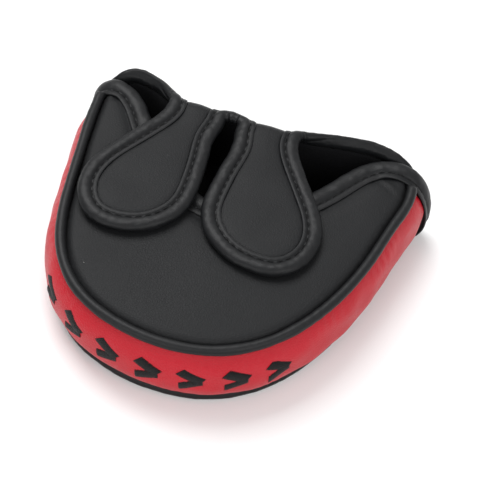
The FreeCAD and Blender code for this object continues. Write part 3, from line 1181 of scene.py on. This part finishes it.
    def puckered(self, grid_s: Array, grid_z: Array, total: float) -> Array:
        """Outward reach of the red band's face, puckered along its two seams.

        Args:
            grid_s: Distance along the band of each point.
            grid_z: Height of each point.
            total: The band's length.

        Returns:
            The reach of each point.
        """
        flat, shape = np.stack([grid_s.ravel(), grid_z.ravel()], axis=1), grid_s.shape
        from_top, from_low = self.band_high - grid_z, grid_z - self.band_low
        pucker = np.sin(grid_s * 2 * math.pi / 4.1
                        + 1.4 * ripple(flat * [1, 0.2], 19.0, 4).reshape(shape))
        slack = 0.5 + 0.5 * ripple(flat * [1.0, 0.0], 26.0, 21).reshape(shape)
        seams = bump(from_top - 3.0, 2.6) + 0.7 * bump(from_low - 2.5, 2.2)
        reach = self.band_profile(0.0)(grid_z) + 0.13 * slack * pucker * seams
        reach = reach + 0.22 * ripple(flat * [1.0, 1.6], 17.0, 8).reshape(shape) \
            * smooth(from_top / 6) * smooth(from_low / 6)
        return reach + self.flare(grid_s, total, grid_z)

    def band(self) -> None:
        """Red side band, with the face's shape kept for the embroidery."""
        line = self.rim(0.8)
        s = lengths(line)
        total = s[-1]
        t = along(line)
        outward = np.stack([t[:, 1], -t[:, 0]], axis=1)
        z = self.band_low + (self.band_high - self.band_low) * (
            0.5 - 0.5 * np.cos(np.linspace(0, math.pi, 34)))
        grid_s, grid_z = np.meshgrid(s, z, indexing="ij")
        flat = np.stack([grid_s.ravel(), grid_z.ravel()], axis=1)
        reach = self.puckered(grid_s, grid_z, total)
        count, rows = grid_s.shape

        def skin(depth: float) -> Array:
            """Points of a face a depth behind the outer one.

            Args:
                depth: How far behind the outer face.

            Returns:
                The face's points.
            """
            xy = line[:, None] + outward[:, None] * (reach - depth)[..., None]
            ends = smooth((7 - grid_s) / 7) + smooth((grid_s - total + 7) / 7)
            zz = grid_z - 2.2 * ends * np.clip((grid_z - 16.0) / 13.0, 0, 1)
            return np.concatenate([xy, zz[..., None]], axis=-1).reshape(-1, 3)

        faces = [(i * rows + j, (i + 1) * rows + j, (i + 1) * rows + j + 1, i * rows + j + 1)
                 for i in range(count - 1) for j in range(rows - 1)]
        border = [i * rows for i in range(count)] \
            + [(count - 1) * rows + j for j in range(1, rows)] \
            + [i * rows + rows - 1 for i in range(count - 2, -1, -1)] \
            + [j for j in range(rows - 2, 0, -1)]
        size = count * rows
        closed = faces + [tuple(v + size for v in reversed(f)) for f in faces]
        for a, b in zip(border, border[1:] + border[:1]):
            closed.append((a, b, b + size, a + size)[::-1])
        uv = np.vstack([flat, flat])
        wear = np.tile((0.35 * bump(self.band_high - grid_z - 5.5, 2.5)).ravel(), 2)
        obj = make_object("side_band", np.vstack([skin(0.0), skin(self.band_skin)]), closed, uv,
                          wear)
        self.settle(turn_outwards(obj), "red_leather", "side_band")
        self.band_face = (s, line, outward, z, reach)

    def band_backing(self) -> None:
        """Foam and lining behind the red band."""
        total = lengths(self.rim(0.8))[-1]
        for name, slot, low, high in (("side_padding", "foam", 4.4, 28.4),
                                      ("side_lining", "lining", 4.3, 28.0)):
            path = plan_sweep(self.rim(1.6), 0.0)
            heights = np.linspace(low, high, 14)
            run = lengths(path.centre)[:, None] + 0 * heights
            if slot == "foam":
                outer = self.band_profile(1.25)(heights) - 0.25 + self.flare(run, total, heights)
                inner = np.full(run.shape, -1.0)
            else:
                outer = np.full(run.shape, -1.05)
                inner = -1.9 + 0.15 * np.sin(heights) + 0 * run
            tall = heights + 0 * run
            section = np.concatenate([np.stack([outer, tall], axis=-1),
                                      np.stack([inner, tall], axis=-1)[:, ::-1]], axis=1)
            piece = path.object(name, section)
            self.settle(piece, slot, name)

    def facings(self) -> None:
        """Leather closing the band's two open ends, from the lip binding to the lining."""
        for word, outer, inner in (("left", LIP_LEFT, -57.2), ("right", LIP_RIGHT, 61.4)):
            edge = spline([(x, z) for x, _, z in outer], 0.9)
            ring = np.vstack([edge, [[inner, 3.6], [inner, 29.2], edge[0]]])
            ring = even(ring, 1.1)[:-1]
            flat, tris = fill(ring, 1.5)
            soft = 0.5 * ripple(flat, 11.0, 17) + 0.5
            top = np.column_stack([flat[:, 0], self.end_y[1] + soft, flat[:, 1]])
            low = np.column_stack([flat[:, 0], self.end_y[0] + 0 * soft, flat[:, 1]])
            obj = shell(f"band_end_{word}", flat, tris, len(ring), top, low)
            self.settle(obj, "trim_leather")

    def cords(self) -> None:
        """Piping above and below the band: a covered cord, swept as a round tube."""
        for name, z, seed in (("bottom_piping", 2.1, 31), ("top_piping", 30.7, 32)):
            line = self.rim(0.9)
            path = plan_sweep(line, z)
            tuck = smooth((line[:, 1] - 97.3) / 4.0) * (z > 16)
            path.centre[:, 0] -= 2.0 * tuck * np.sign(line[:, 0])
            path.centre[:, 2] -= 3.4 * tuck
            count = 18
            angle = 2 * math.pi * np.arange(count) / count
            swell = 1 + 0.035 * ripple(path.centre, 9.0, seed) + 0.02 * ripple(
                path.centre, 3.2, seed + 4)
            ring = np.stack([np.cos(angle), np.sin(angle)], axis=1) * self.piping
            section = ring[None] * swell[:, None, None]
            section[..., 1] = np.maximum(section[..., 1], -2.08)
            section *= (1 - 0.35 * tuck)[:, None, None]
            wear = 0.25 * np.clip(np.sin(angle), 0, 1) ** 3
            obj = path.object(name, section, wear)
            self.settle(obj, "trim_leather", name)

    def lip_stations(self) -> Sweep:
        """Stations of the lip binding, from the foot of the left band end to the right one.

        Returns:
            The stations.
        """
        plan = [(x, y, self.lip_z + 0.3 * float(smooth((abs(x) - 44.0) / 8.0)))
                for x, y in self.lip_plan(4.0)]
        line = spline(LIP_LEFT[::-1] + plan + LIP_RIGHT, 0.7)
        soft = np.array([np.convolve(np.pad(line[:, n], 8, mode="edge"), np.ones(17) / 17,
                                     mode="valid") for n in range(3)]).T
        line = line + (soft - line) * smooth(np.minimum(lengths(line), lengths(line)[::-1])
                                             / 8)[:, None]
        t = along(line)
        up = np.column_stack([-t[:, 2], 0 * t[:, 2], t[:, 0]])
        up = unit(up - t * (up * t).sum(1, keepdims=True))
        side = np.cross(t, up)
        return Sweep(line, side, up)

    def lip(self) -> None:
        """Lip binding with its sewn flange, and the seam along it."""
        path = self.lip_stations()
        binding = Binding(roll=2.4, seam_at=3.9, flange=6.4, half=2.35, pitch=3.6)
        s = lengths(path.centre)
        sections = binding.section(s, seed=41)
        sections *= (0.4 + 0.6 * smooth(np.minimum(s, s[-1] - s) / 5.0))[:, None, None]
        obj = path.object("lip_binding", sections, binding.wear())
        self.settle(obj, "trim_leather", "lip_binding")
        line = path.centre + path.side * binding.seam_at + path.up * binding.seam_up
        seam = self.sewing.run("lip_stitching", [(line, path.up)], seed=3)
        self.settle(seam, "black_thread", "lip_stitching")

    def motif(self) -> None:
        """Row of embroidered chevrons in satin stitch on the band's round end."""
        s, line, outward, z, reach = self.band_face
        middle = 0.49 * s[-1]

        def place(points: Array) -> tuple[Array, Array]:
            """Points on the band's face and its outward direction, from (along, height).

            Args:
                points: Distances along the band, and heights.

            Returns:
                The points on the face and the outward direction at each.
            """
            i = np.interp(points[:, 0], s, np.arange(len(s)))
            j = np.interp(points[:, 1], z, np.arange(len(z)))
            i0, j0 = np.floor(i).astype(int), np.floor(j).astype(int)
            i1, j1 = np.minimum(i0 + 1, len(s) - 1), np.minimum(j0 + 1, len(z) - 1)
            fi, fj = i - i0, j - j0
            far = (reach[i0, j0] * (1 - fi) * (1 - fj) + reach[i1, j0] * fi * (1 - fj)
                   + reach[i0, j1] * (1 - fi) * fj + reach[i1, j1] * fi * fj)
            xy = np.stack([np.interp(i, np.arange(len(s)), line[:, n]) for n in (0, 1)], axis=1)
            out = unit(np.stack([np.interp(i, np.arange(len(s)), outward[:, n])
                                 for n in (0, 1)], axis=1))
            slope = np.interp(points[:, 1] + 0.5, z, reach[len(s) // 2]) - np.interp(
                points[:, 1] - 0.5, z, reach[len(s) // 2])
            up = unit(np.column_stack([out, -slope]))
            return np.column_stack([xy + out * (far + 0.12)[:, None], points[:, 1]]), up

        lines = []
        for count in range(-3, 4):
            centre = np.array([middle + count * 14.5, 18.8])
            for rise in (1.0, -1.0):
                run = np.linspace(0, 1, 24)[:, None]
                tip, tail = np.array([3.4, 0.25 * rise]), np.array([-3.6, 3.9 * rise])
                lines.append(place(centre + tip + (tail - tip) * run))
        obj = self.sewing.run("band_embroidery", lines, SATIN, seed=9)
        self.settle(obj, "black_thread", "band_embroidery")

    def build(self) -> None:
        """Builds every piece of the pocket."""
        self.base()
        self.roof()
        self.band()
        self.band_backing()
        self.facings()
        self.cords()
        self.lip()
        self.motif()


@dataclass
class Binding:
    """Folded binding: a soft roll on the edge, a stitched groove and a flat flange."""

    roll: float = 2.2
    seam_at: float = 3.0
    flange: float = 4.95
    half: float = 2.1
    pitch: float = 3.6
    pull: float = 0.16
    gathers: Sequence[tuple[float, float, float]] = ()

    def outline(self) -> Array:
        """Section points (side, up): side counts inwards from the binding's centre line.

        Returns:
            The points, in order round the section.
        """
        d, f, h = self.seam_at, self.flange, self.half
        wide = (d - 0.3 + self.roll) / 1.7
        upper = [(wide - self.roll + wide * math.cos(a), h * math.sin(a))
                 for a in np.linspace(math.pi, 0.8, 14)]
        upper += [(d, h * 0.62), (d + 0.35, h * 0.73), (d + 0.9, h * 0.77), (f - 0.5, h * 0.77),
                  (f - 0.12, h * 0.75), (f, h * 0.66), (f + 0.02, h * 0.5)]
        lower = [(x, -y) for x, y in reversed(upper[1:])]
        return np.array(upper + [(f - 0.8, h * 0.3), (f - 0.8, -h * 0.3)] + lower)

    def wear(self) -> Array:
        """Wear of each section point: the roll's crown and the flange's edge.

        Returns:
            The wear of each.
        """
        points = self.outline()
        crown = np.clip(points[:, 1] / self.half, 0, 1) ** 4 * (points[:, 0] < self.seam_at - 0.8)
        edge = bump(points[:, 0] - (self.flange - 0.05), 0.16) * (points[:, 1] > self.half * 0.6)
        return 0.2 * crown + 0.6 * edge

    def section(self, s: Array, seed: int) -> Array:
        """Sections for each station, pulled in at the stitch holes and gathered in bends.

        Args:
            s: Distance along the binding to each station.
            seed: Picks the unevenness.

        Returns:
            Section points for each station.
        """
        base = self.outline()
        count = len(s)
        out = np.repeat(base[None], count, axis=0)
        hole = np.cos(s * 2 * math.pi / self.pitch) * 0.5 + 0.5
        groove = bump(base[:, 0] - self.seam_at, 0.5) * np.sign(base[:, 1])
        out[..., 1] -= self.pull * (0.4 + hole)[:, None] * groove[None]
        around = np.arctan2(base[:, 1], base[:, 0])
        on_roll = (base[:, 0] < self.seam_at - 0.5).astype(float)
        cells = np.stack([np.repeat(s[:, None], len(base), 1),
                          np.repeat(around[None] * 2.2, count, 0)], axis=-1).reshape(-1, 2)
        swell = 0.045 * ripple(cells, 7.5, seed) + 0.02 * ripple(cells, 2.6, seed + 1)
        swell = swell.reshape(count, len(base))
        for where, width, depth in self.gathers:
            near = bump(s - where, width)[:, None]
            folds = np.sin(s * 2 * math.pi / 2.1)[:, None] + 0.6 * np.sin(
                s * 2 * math.pi / 1.25 + 1.3)[:, None]
            outer = bump(np.abs(np.abs(around) - math.pi), 1.25)[None]
            swell = swell + depth * near * folds * outer - 0.12 * near * outer
        return out * (1 + swell * on_roll[None])[..., None]

    @property
    def seam_up(self) -> float:
        """Height of the thread above the binding's centre line."""
        return self.half * 0.62 + 0.05


# ---------------------------------------------------------------- the front wall and tongues
@dataclass
class Drape:
    """How the leather of the front wall and a tongue lies: up the wall, over the fold and back."""

    bend: float = 4.2
    mid_z: float = 34.7
    foot_z: float = 2.2
    notches: tuple[float, ...] = (-31.0, -7.8, 17.8)
    notch_lift: float = 0.45

    def __post_init__(self) -> None:
        """Works out the wall's bow from its plan line."""
        line = spline(WALL, 0.5)
        order = np.argsort(line[:, 0])
        self.bow_x, self.bow_y = line[order, 0], line[order, 1] - FOLD_Y

    @property
    def arc(self) -> float:
        """Length of leather round the fold."""
        return self.bend * math.pi / 2

    def from_y(self, y: float) -> float:
        """Distance along the leather of a place on the tongue, from the fold's start."""
        return self.arc + (FOLD_Y - self.bend) - y

    def from_z(self, z: float) -> float:
        """Distance along the leather of a height on the wall or the fold."""
        rise = z - (self.mid_z - self.bend)
        return rise if rise < 0 else self.bend * math.asin(rise / self.bend)

    def points(self, x: Array, w: Array) -> Array:
        """Mid-surface points of places across and along the leather.

        Args:
            x: Places across.
            w: Distances along the leather, below 0 on the wall.

        Returns:
            The points.
        """
        x, w = np.broadcast_arrays(np.asarray(x, float), np.asarray(w, float))
        centre_y, centre_z = FOLD_Y - self.bend, self.mid_z - self.bend
        angle = np.clip(w / self.bend, 0, math.pi / 2)
        y = centre_y + self.bend * np.cos(angle) - np.maximum(w - self.arc, 0)
        z = centre_z + self.bend * np.sin(angle) + np.minimum(w, 0)
        bow = np.interp(x, self.bow_x, self.bow_y)
        y = y + bow * np.clip((z - self.foot_z) / (30.35 - self.foot_z), 0, 1.1) \
            * (1 - smooth((w - 3.0) / 5.0))
        lift = sum(bump(x - n, 4.6) for n in self.notches) * bump(w - 4.0, 3.6)
        lift = lift * self.notch_lift
        return np.stack([x, y + 1.1 * lift, z + 0.75 * lift], axis=-1)

    def surface(self, x: Array, w: Array) -> tuple[Array, Array]:
        """Mid-surface points and outward directions.

        Args:
            x: Places across.
            w: Distances along the leather, below 0 on the wall.

        Returns:
            The points and the directions.
        """
        x, w = np.asarray(x, float), np.asarray(w, float)
        across = self.points(x + 0.4, w) - self.points(x - 0.4, w)
        onward = self.points(x, w + 0.3) - self.points(x, w - 0.3)
        return self.points(x, w), unit(np.cross(onward, across))

    def place(self, x: Array, w: Array, h: Array) -> Array:
        """Points a height off the mid-surface."""
        point, normal = self.surface(x, w)
        return point + normal * np.asarray(h)[..., None]


@dataclass
class Front:
    """The front wall with its two tongues, one run of leather bound along its whole upper edge."""

    wardrobe: Wardrobe
    sewing: Sewing
    drape: Drape = field(default_factory=Drape)
    edge_z: float = 30.35
    neck_w: float = 1.5
    split_w: float = 3.2
    panel_inset: float = 4.4
    padding_inset: float = 3.2
    lining_inset: float = 3.0
    blend_from: tuple[float, float] = (102.6, 34.0)
    blend_to: tuple[float, float] = (97.4, 35.4)

    def tongue_plan(self, side: Side) -> Array:
        """A tongue's binding centre line over the flattened leather, from its inner root."""
        pts = [(GAP_X + side.sign * u * side.stretch, self.drape.from_y(y)) for u, y in TONGUE]
        return np.array(pts)

    def edge_line(self) -> tuple[Array, dict[str, int]]:
        """The whole bound edge over the flattened leather.

        Returns:
            The line from the left corner to the right one, and the stations where the tongues
            start and end.
        """
        left = self.tongue_plan(Side.LEFT)[::-1]
        right = self.tongue_plan(Side.RIGHT)
        xl, xli = left[0, 0], left[-1, 0]
        xri, xr = right[0, 0], right[-1, 0]
        mid = (xli + xri) / 2
        edge = self.edge_z
        outer_left = [(-57.4, 5.0), (-57.8, 14.0), (-57.9, 21.0), (-57.3, 25.5), (-55.2, 28.7),
                      (-51.6, edge), (-46.0, 30.8),
                      (-40.0, 31.4), (xl - 5.0, 32.3), (xl - 2.6, 33.2), (xl - 0.8, 34.2)]
        between = [(xli + 0.35, 34.6), (xli + 1.7, 34.3), (mid, 34.1), (xri - 1.7, 34.3),
                   (xri - 0.35, 34.6)]
        outer_right = [(xr + 0.8, 34.2), (xr + 2.6, 33.3), (xr + 6.0, 32.4), (xr + 11.0, 31.6),
                       (36.0, 31.0), (43.0, 30.7), (49.0, edge), (55.0, edge - 0.5),
                       (59.3, edge - 2.6), (61.8, edge - 6.6), (62.4, 17.0), (61.8, 11.0),
                       (60.8, 5.0)]
        flatten = self.drape.from_z
        points = [(x, flatten(z)) for x, z in outer_left] + [tuple(p) for p in left] \
            + [(x, flatten(z)) for x, z in between] + [tuple(p) for p in right] \
            + [(x, flatten(z)) for x, z in outer_right]
        line = spline(points, 0.55)
        above = np.flatnonzero(line[:, 1] > self.split_w)
        centre = np.flatnonzero(np.abs(line[:, 0] - mid) < 2.3)
        return line, {"left_start": int(above[0]), "left_end": int(centre[0]),
                      "right_start": int(centre[-1]), "right_end": int(above[-1])}

    def settle(self, obj: bpy.types.Object, slot: str, side: Optional[Side],
               *nodes: str) -> None:
        """Dresses a piece and lets it stand for its CAD nodes.

        Args:
            obj: The piece.
            slot: Its material slot.
            side: The tongue it bends onto over the fold, or none for the wall's own.
            nodes: The CAD nodes it stands for.
        """
        self.wardrobe.dress(obj, slot)
        if nodes:
            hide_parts(*nodes)
        if side is None:
            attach(obj, "front_wall")
        else:
            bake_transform(obj)
        LOG.info("%s: %d faces", obj.name, len(obj.data.polygons))

    def edges(self) -> None:
        """Bindings of the wall and the tongues, and their stitches."""
        line, marks = self.edge_line()
        t = along(line)
        inward = np.stack([t[:, 1], -t[:, 0]], axis=1)
        s = lengths(line)
        gathers = [(s[marks[k]] + d, 3.0, 0.085) for k, d in (
            ("left_start", 1.5), ("left_end", -1.0), ("right_start", 1.0), ("right_end", -1.5))]
        binding = Binding(gathers=gathers)
        sections = binding.section(s, seed=51)
        flat = line[:, None] + inward[:, None] * sections[..., 0:1]
        verts = self.drape.place(flat[..., 0], flat[..., 1], sections[..., 1])
        sewn_flat = line + inward * binding.seam_at
        seam, up = self.drape.surface(sewn_flat[:, 0], sewn_flat[:, 1])
        seam = seam + up * binding.seam_up
        parts = (("front_binding_left", 0, marks["left_start"], None),
                 ("left_tongue_binding", marks["left_start"], marks["left_end"], Side.LEFT),
                 ("front_binding_centre", marks["left_end"], marks["right_start"], None),
                 ("right_tongue_binding", marks["right_start"], marks["right_end"], Side.RIGHT),
                 ("front_binding_right", marks["right_end"], len(s) - 1, None))
        for name, first, last, side in parts:
            piece = tube(name, verts[first:last + 1], binding.wear())
            self.settle(piece, "trim_leather", side, name)
            if side is not None:
                name = side.word + "_tongue_stitching"
                sewn = self.sewing.run(name, [(seam[first:last + 1], up[first:last + 1])], seed=4)
                self.settle(sewn, "black_thread", side, name)
        loose = [(seam[a:b], up[a:b]) for a, b in (
            (0, marks["left_start"]), (marks["left_end"], marks["right_start"]),
            (marks["right_end"], len(s)))]
        sewn = self.sewing.run("front_wall_stitching", loose, seed=6)
        self.settle(sewn, "black_thread", None)

    def inset_line(self, inset: float) -> Array:
        """The bound edge moved onto the leather, over the flattened leather.

        Args:
            inset: How far in from the bound edge.

        Returns:
            The line.
        """
        line, _ = self.edge_line()
        moved = shifted(line, -inset)
        return even(moved[gap_to(moved, line) > inset - 0.15], 0.9)

    def spans(self, inset: float) -> tuple[Array, list[tuple[int, int]]]:
        """An inset line and the runs of its points that lie on the two tongues.

        Args:
            inset: How far in from the edge.

        Returns:
            The line, and the first and last point of each run.
        """
        line = self.inset_line(inset)
        above = np.r_[False, line[:, 1] > self.neck_w, False].astype(int)
        starts, ends = np.flatnonzero(np.diff(above) == 1), np.flatnonzero(np.diff(above) == -1)
        runs = [(int(a), int(b)) for a, b in zip(starts, ends) if b - a > 20]
        return line, runs

    def tongue_ring(self, side: Side, inset: float) -> Array:
        """Closed outline of a tongue's layer over the flattened leather.

        Args:
            side: Which tongue.
            inset: How far in from the edge.

        Returns:
            The outline.
        """
        line, runs = self.spans(inset)
        first, last = runs[0 if side is Side.LEFT else 1]
        part = line[first:last]
        foot_a, foot_b = np.array([[part[n, 0], self.neck_w] for n in (0, -1)])[:, None]
        bottom = even(np.vstack([foot_b, foot_a]), 0.9)[1:-1]
        return np.vstack([foot_a, part, foot_b, bottom])[::-1]

    def wall_ring(self, inset: float) -> Array:
        """Closed outline of a layer of the front wall over the flattened leather.

        Args:
            inset: How far in from the edge.

        Returns:
            The outline.
        """
        line, ((a, b), (c, d)) = self.spans(inset)
        foot = self.drape.from_z(self.drape.foot_z)
        necks = [np.array([[line[n, 0], self.neck_w], [line[m - 1, 0], self.neck_w]])
                 for n, m in ((a, b), (c, d))]
        corners = np.array([[line[-1, 0], foot], [line[0, 0], foot], line[0]])
        ring = np.vstack([line[:a], necks[0], line[b:c], necks[1], line[d:], corners])
        return even(ring, 1.2)[:-1][::-1]

    def relief(self, flat: Array) -> Array:
        """How far the padded leather stands off the mid-surface.

        Args:
            flat: Places over the flattened leather.

        Returns:
            The height of each.
        """
        d = gap_to(flat, self.inset_line(self.panel_inset))
        return 1.0 + 0.75 * (1 - np.exp(-d / 3.5)) + 0.1 * ripple(flat, 18.0, 61) \
            - 0.3 * bump(d, 0.9)

    def tongue(self, side: Side) -> None:
        """A tongue's leather, foam and lining.

        Args:
            side: Which tongue.
        """
        name = side.word + "_tongue_"
        ring = self.tongue_ring(side, self.panel_inset)
        flat, tris = fill(ring, 0.95)
        puff = self.relief(flat)
        top = self.drape.place(flat[:, 0], flat[:, 1], puff)
        low = self.drape.place(flat[:, 0], flat[:, 1], puff - 0.8)
        obj = shell(name + "panel", flat, tris, len(ring), top, low)
        self.settle(obj, "black_leather", side, name + "panel")
        for word, slot, high, deep, inset in (
                ("padding", "foam", 0.55, -1.0, self.padding_inset),
                ("lining", "lining", -1.1, -1.75, self.lining_inset)):
            ring = self.tongue_ring(side, inset)
            flat, tris = fill(ring, 1.6)
            soft = 0.3 * (1 - np.exp(-gap_to_ring(flat, ring) / 3.0))
            top = self.drape.place(flat[:, 0], flat[:, 1], high - 0.3 + soft)
            low = self.drape.place(flat[:, 0], flat[:, 1], deep + 0.3 - soft)
            layer = shell(name + word, flat, tris, len(ring), top, low)
            self.settle(layer, slot, side, name + word)

    def wall(self) -> None:
        """The front wall's leather with its rolled foot, its foam and its lining."""
        foot = self.drape.from_z(self.drape.foot_z)
        for word, slot, high, deep, inset in (
                ("panel", "black_leather", 0.0, -0.8, self.panel_inset),
                ("padding", "foam", 0.75, -1.0, self.padding_inset),
                ("lining", "lining", -1.1, -1.75, self.lining_inset)):
            ring = self.wall_ring(inset)
            flat, tris = fill(ring, 1.4 if word == "panel" else 2.0)
            rise = self.relief(flat) if word == "panel" else 0.0 * flat[:, 0]
            if word == "panel":
                rise += 1.1 * smooth((flat[:, 1] - foot) / 7) * smooth(-flat[:, 1] / 9) \
                    + 0.25 * ripple(flat, 22.0, 71) * smooth(-flat[:, 1] / 5)
            top = self.drape.place(flat[:, 0], flat[:, 1], high + rise)
            low = self.drape.place(flat[:, 0], flat[:, 1], deep + rise)
            obj = shell("front_wall_" + word, flat, tris, len(ring), top, low)
            self.settle(obj, slot, None, "front_wall_" + word)
        line = np.column_stack([np.linspace(-56.8, 60.0, 120), np.full(120, FOLD_Y)])
        path = plan_sweep(line, self.drape.foot_z)
        angle = 2 * math.pi * np.arange(16) / 16
        ring = np.stack([np.cos(angle), np.sin(angle)], axis=1) * 1.95
        swell = 1 + 0.03 * ripple(path.centre, 6.0, 77)
        roll = path.object("front_wall_foot", ring[None] * swell[:, None, None])
        self.settle(roll, "trim_leather", None)

    def build(self) -> None:
        """Builds the wall, its bound edge and both tongues."""
        self.wall()
        self.edges()
        for side in Side:
            self.tongue(side)


@dataclass
class Discs:
    """The hidden magnets and keepers, carried over from the CAD."""

    wardrobe: Wardrobe

    def build(self) -> None:
        """Gives each disc its finish."""
        for side in Side:
            for word, slot in (("keeper", "steel"), ("magnet", "magnet")):
                node = frame["nodes"][f"{side.word}_{word}"]
                self.wardrobe.dress(node, slot)
                LOG.info("%s carried over", node.name)


# ---------------------------------------------------------------- studio
@dataclass
class Studio:
    """Floor, lights and camera."""

    azimuth: float = 9.724
    elevation: float = 53.026
    roll: float = 9.444
    shift: tuple[float, float] = (26.689, 41.598)
    distance: float = 554.56
    lens: float = 120.0

    def camera(self) -> None:
        """Sets the camera."""
        a, e, r = (math.radians(v) for v in (self.azimuth, self.elevation, self.roll))
        back = np.array([math.sin(a) * math.cos(e), -math.cos(a) * math.cos(e), math.sin(e)])
        right = np.array([math.cos(a), math.sin(a), 0.0])
        up = np.cross(back, right)
        right, up = math.cos(r) * right + math.sin(r) * up, -math.sin(r) * right + math.cos(r) * up
        centre = np.array([0.0, -DEPTH_SHIFT, 20.0]) + right * self.shift[0] + up * self.shift[1] \
            + back * self.distance
        data = bpy.data.cameras.new("camera")
        data.lens, data.sensor_width = self.lens, 36.0
        data.clip_start, data.clip_end = 0.01, 20.0
        camera = bpy.data.objects.new("camera", data)
        matrix = np.eye(4)
        matrix[:3, 0], matrix[:3, 1], matrix[:3, 2] = right, up, back
        matrix[:3, 3] = centre * MM
        camera.matrix_world = Matrix(matrix.tolist())
        bpy.context.scene.collection.objects.link(camera)
        bpy.context.scene.camera = camera

    def floor(self) -> None:
        """Lays the plain pale floor."""
        mesh = bpy.data.meshes.new("floor")
        half = 3.0
        mesh.from_pydata([(-half, -half, 0), (half, -half, 0), (half, half, 0), (-half, half, 0)],
                         [], [(0, 1, 2, 3)])
        floor = bpy.data.objects.new("floor", mesh)
        material = bpy.data.materials.new("Pale Floor")
        material.use_nodes = True
        shader = next(n for n in material.node_tree.nodes if n.type == "BSDF_PRINCIPLED")
        shader.inputs["Base Color"].default_value = (0.9, 0.9, 0.9, 1.0)
        shader.inputs["Roughness"].default_value = 0.9
        shader.inputs["Specular IOR Level"].default_value = 0.1
        mesh.materials.append(material)
        bpy.context.scene.collection.objects.link(floor)

    def light(self, name: str, place: tuple[float, float, float], size: float,
              power: float) -> None:
        """Hangs a square soft light aimed at the cover.

        Args:
            name: The light's name.
            place: Where it hangs, in metres.
            size: Its side.
            power: Its power.
        """
        data = bpy.data.lights.new(name, "AREA")
        data.shape, data.size, data.energy = "SQUARE", size, power
        lamp = bpy.data.objects.new(name, data)
        lamp.location = place
        aim = Vector((0.0, 0.0, 0.02)) - Vector(place)
        lamp.rotation_euler = aim.to_track_quat("-Z", "Y").to_euler()
        bpy.context.scene.collection.objects.link(lamp)

    def build(self) -> None:
        """Sets up floor, lights, world and camera."""
        self.camera()
        self.floor()
        self.light("key", (-0.45, 0.45, 1.1), 0.8, 13.0)
        self.light("fill", (0.8, -0.6, 0.8), 0.9, 6.0)
        self.light("front", (-0.3, -1.1, 0.6), 0.8, 5.0)
        bpy.context.scene.view_settings.view_transform = "Standard"
        world = bpy.data.worlds.new("studio")
        world.use_nodes = True
        back = world.node_tree.nodes["Background"]
        back.inputs["Color"].default_value = (1.0, 1.0, 1.0, 1.0)
        back.inputs["Strength"].default_value = 0.55
        bpy.context.scene.world = world


def main() -> None:
    """Builds the head cover and its studio."""
    logging.basicConfig(level=logging.INFO, format="%(name)s %(message)s", stream=sys.stdout)
    wardrobe = Wardrobe()
    sewing = Sewing(wardrobe)
    Studio().build()
    Pocket(wardrobe, sewing).build()
    Front(wardrobe, sewing).build()
    Discs(wardrobe).build()


if __name__ == "__main__":
    main()
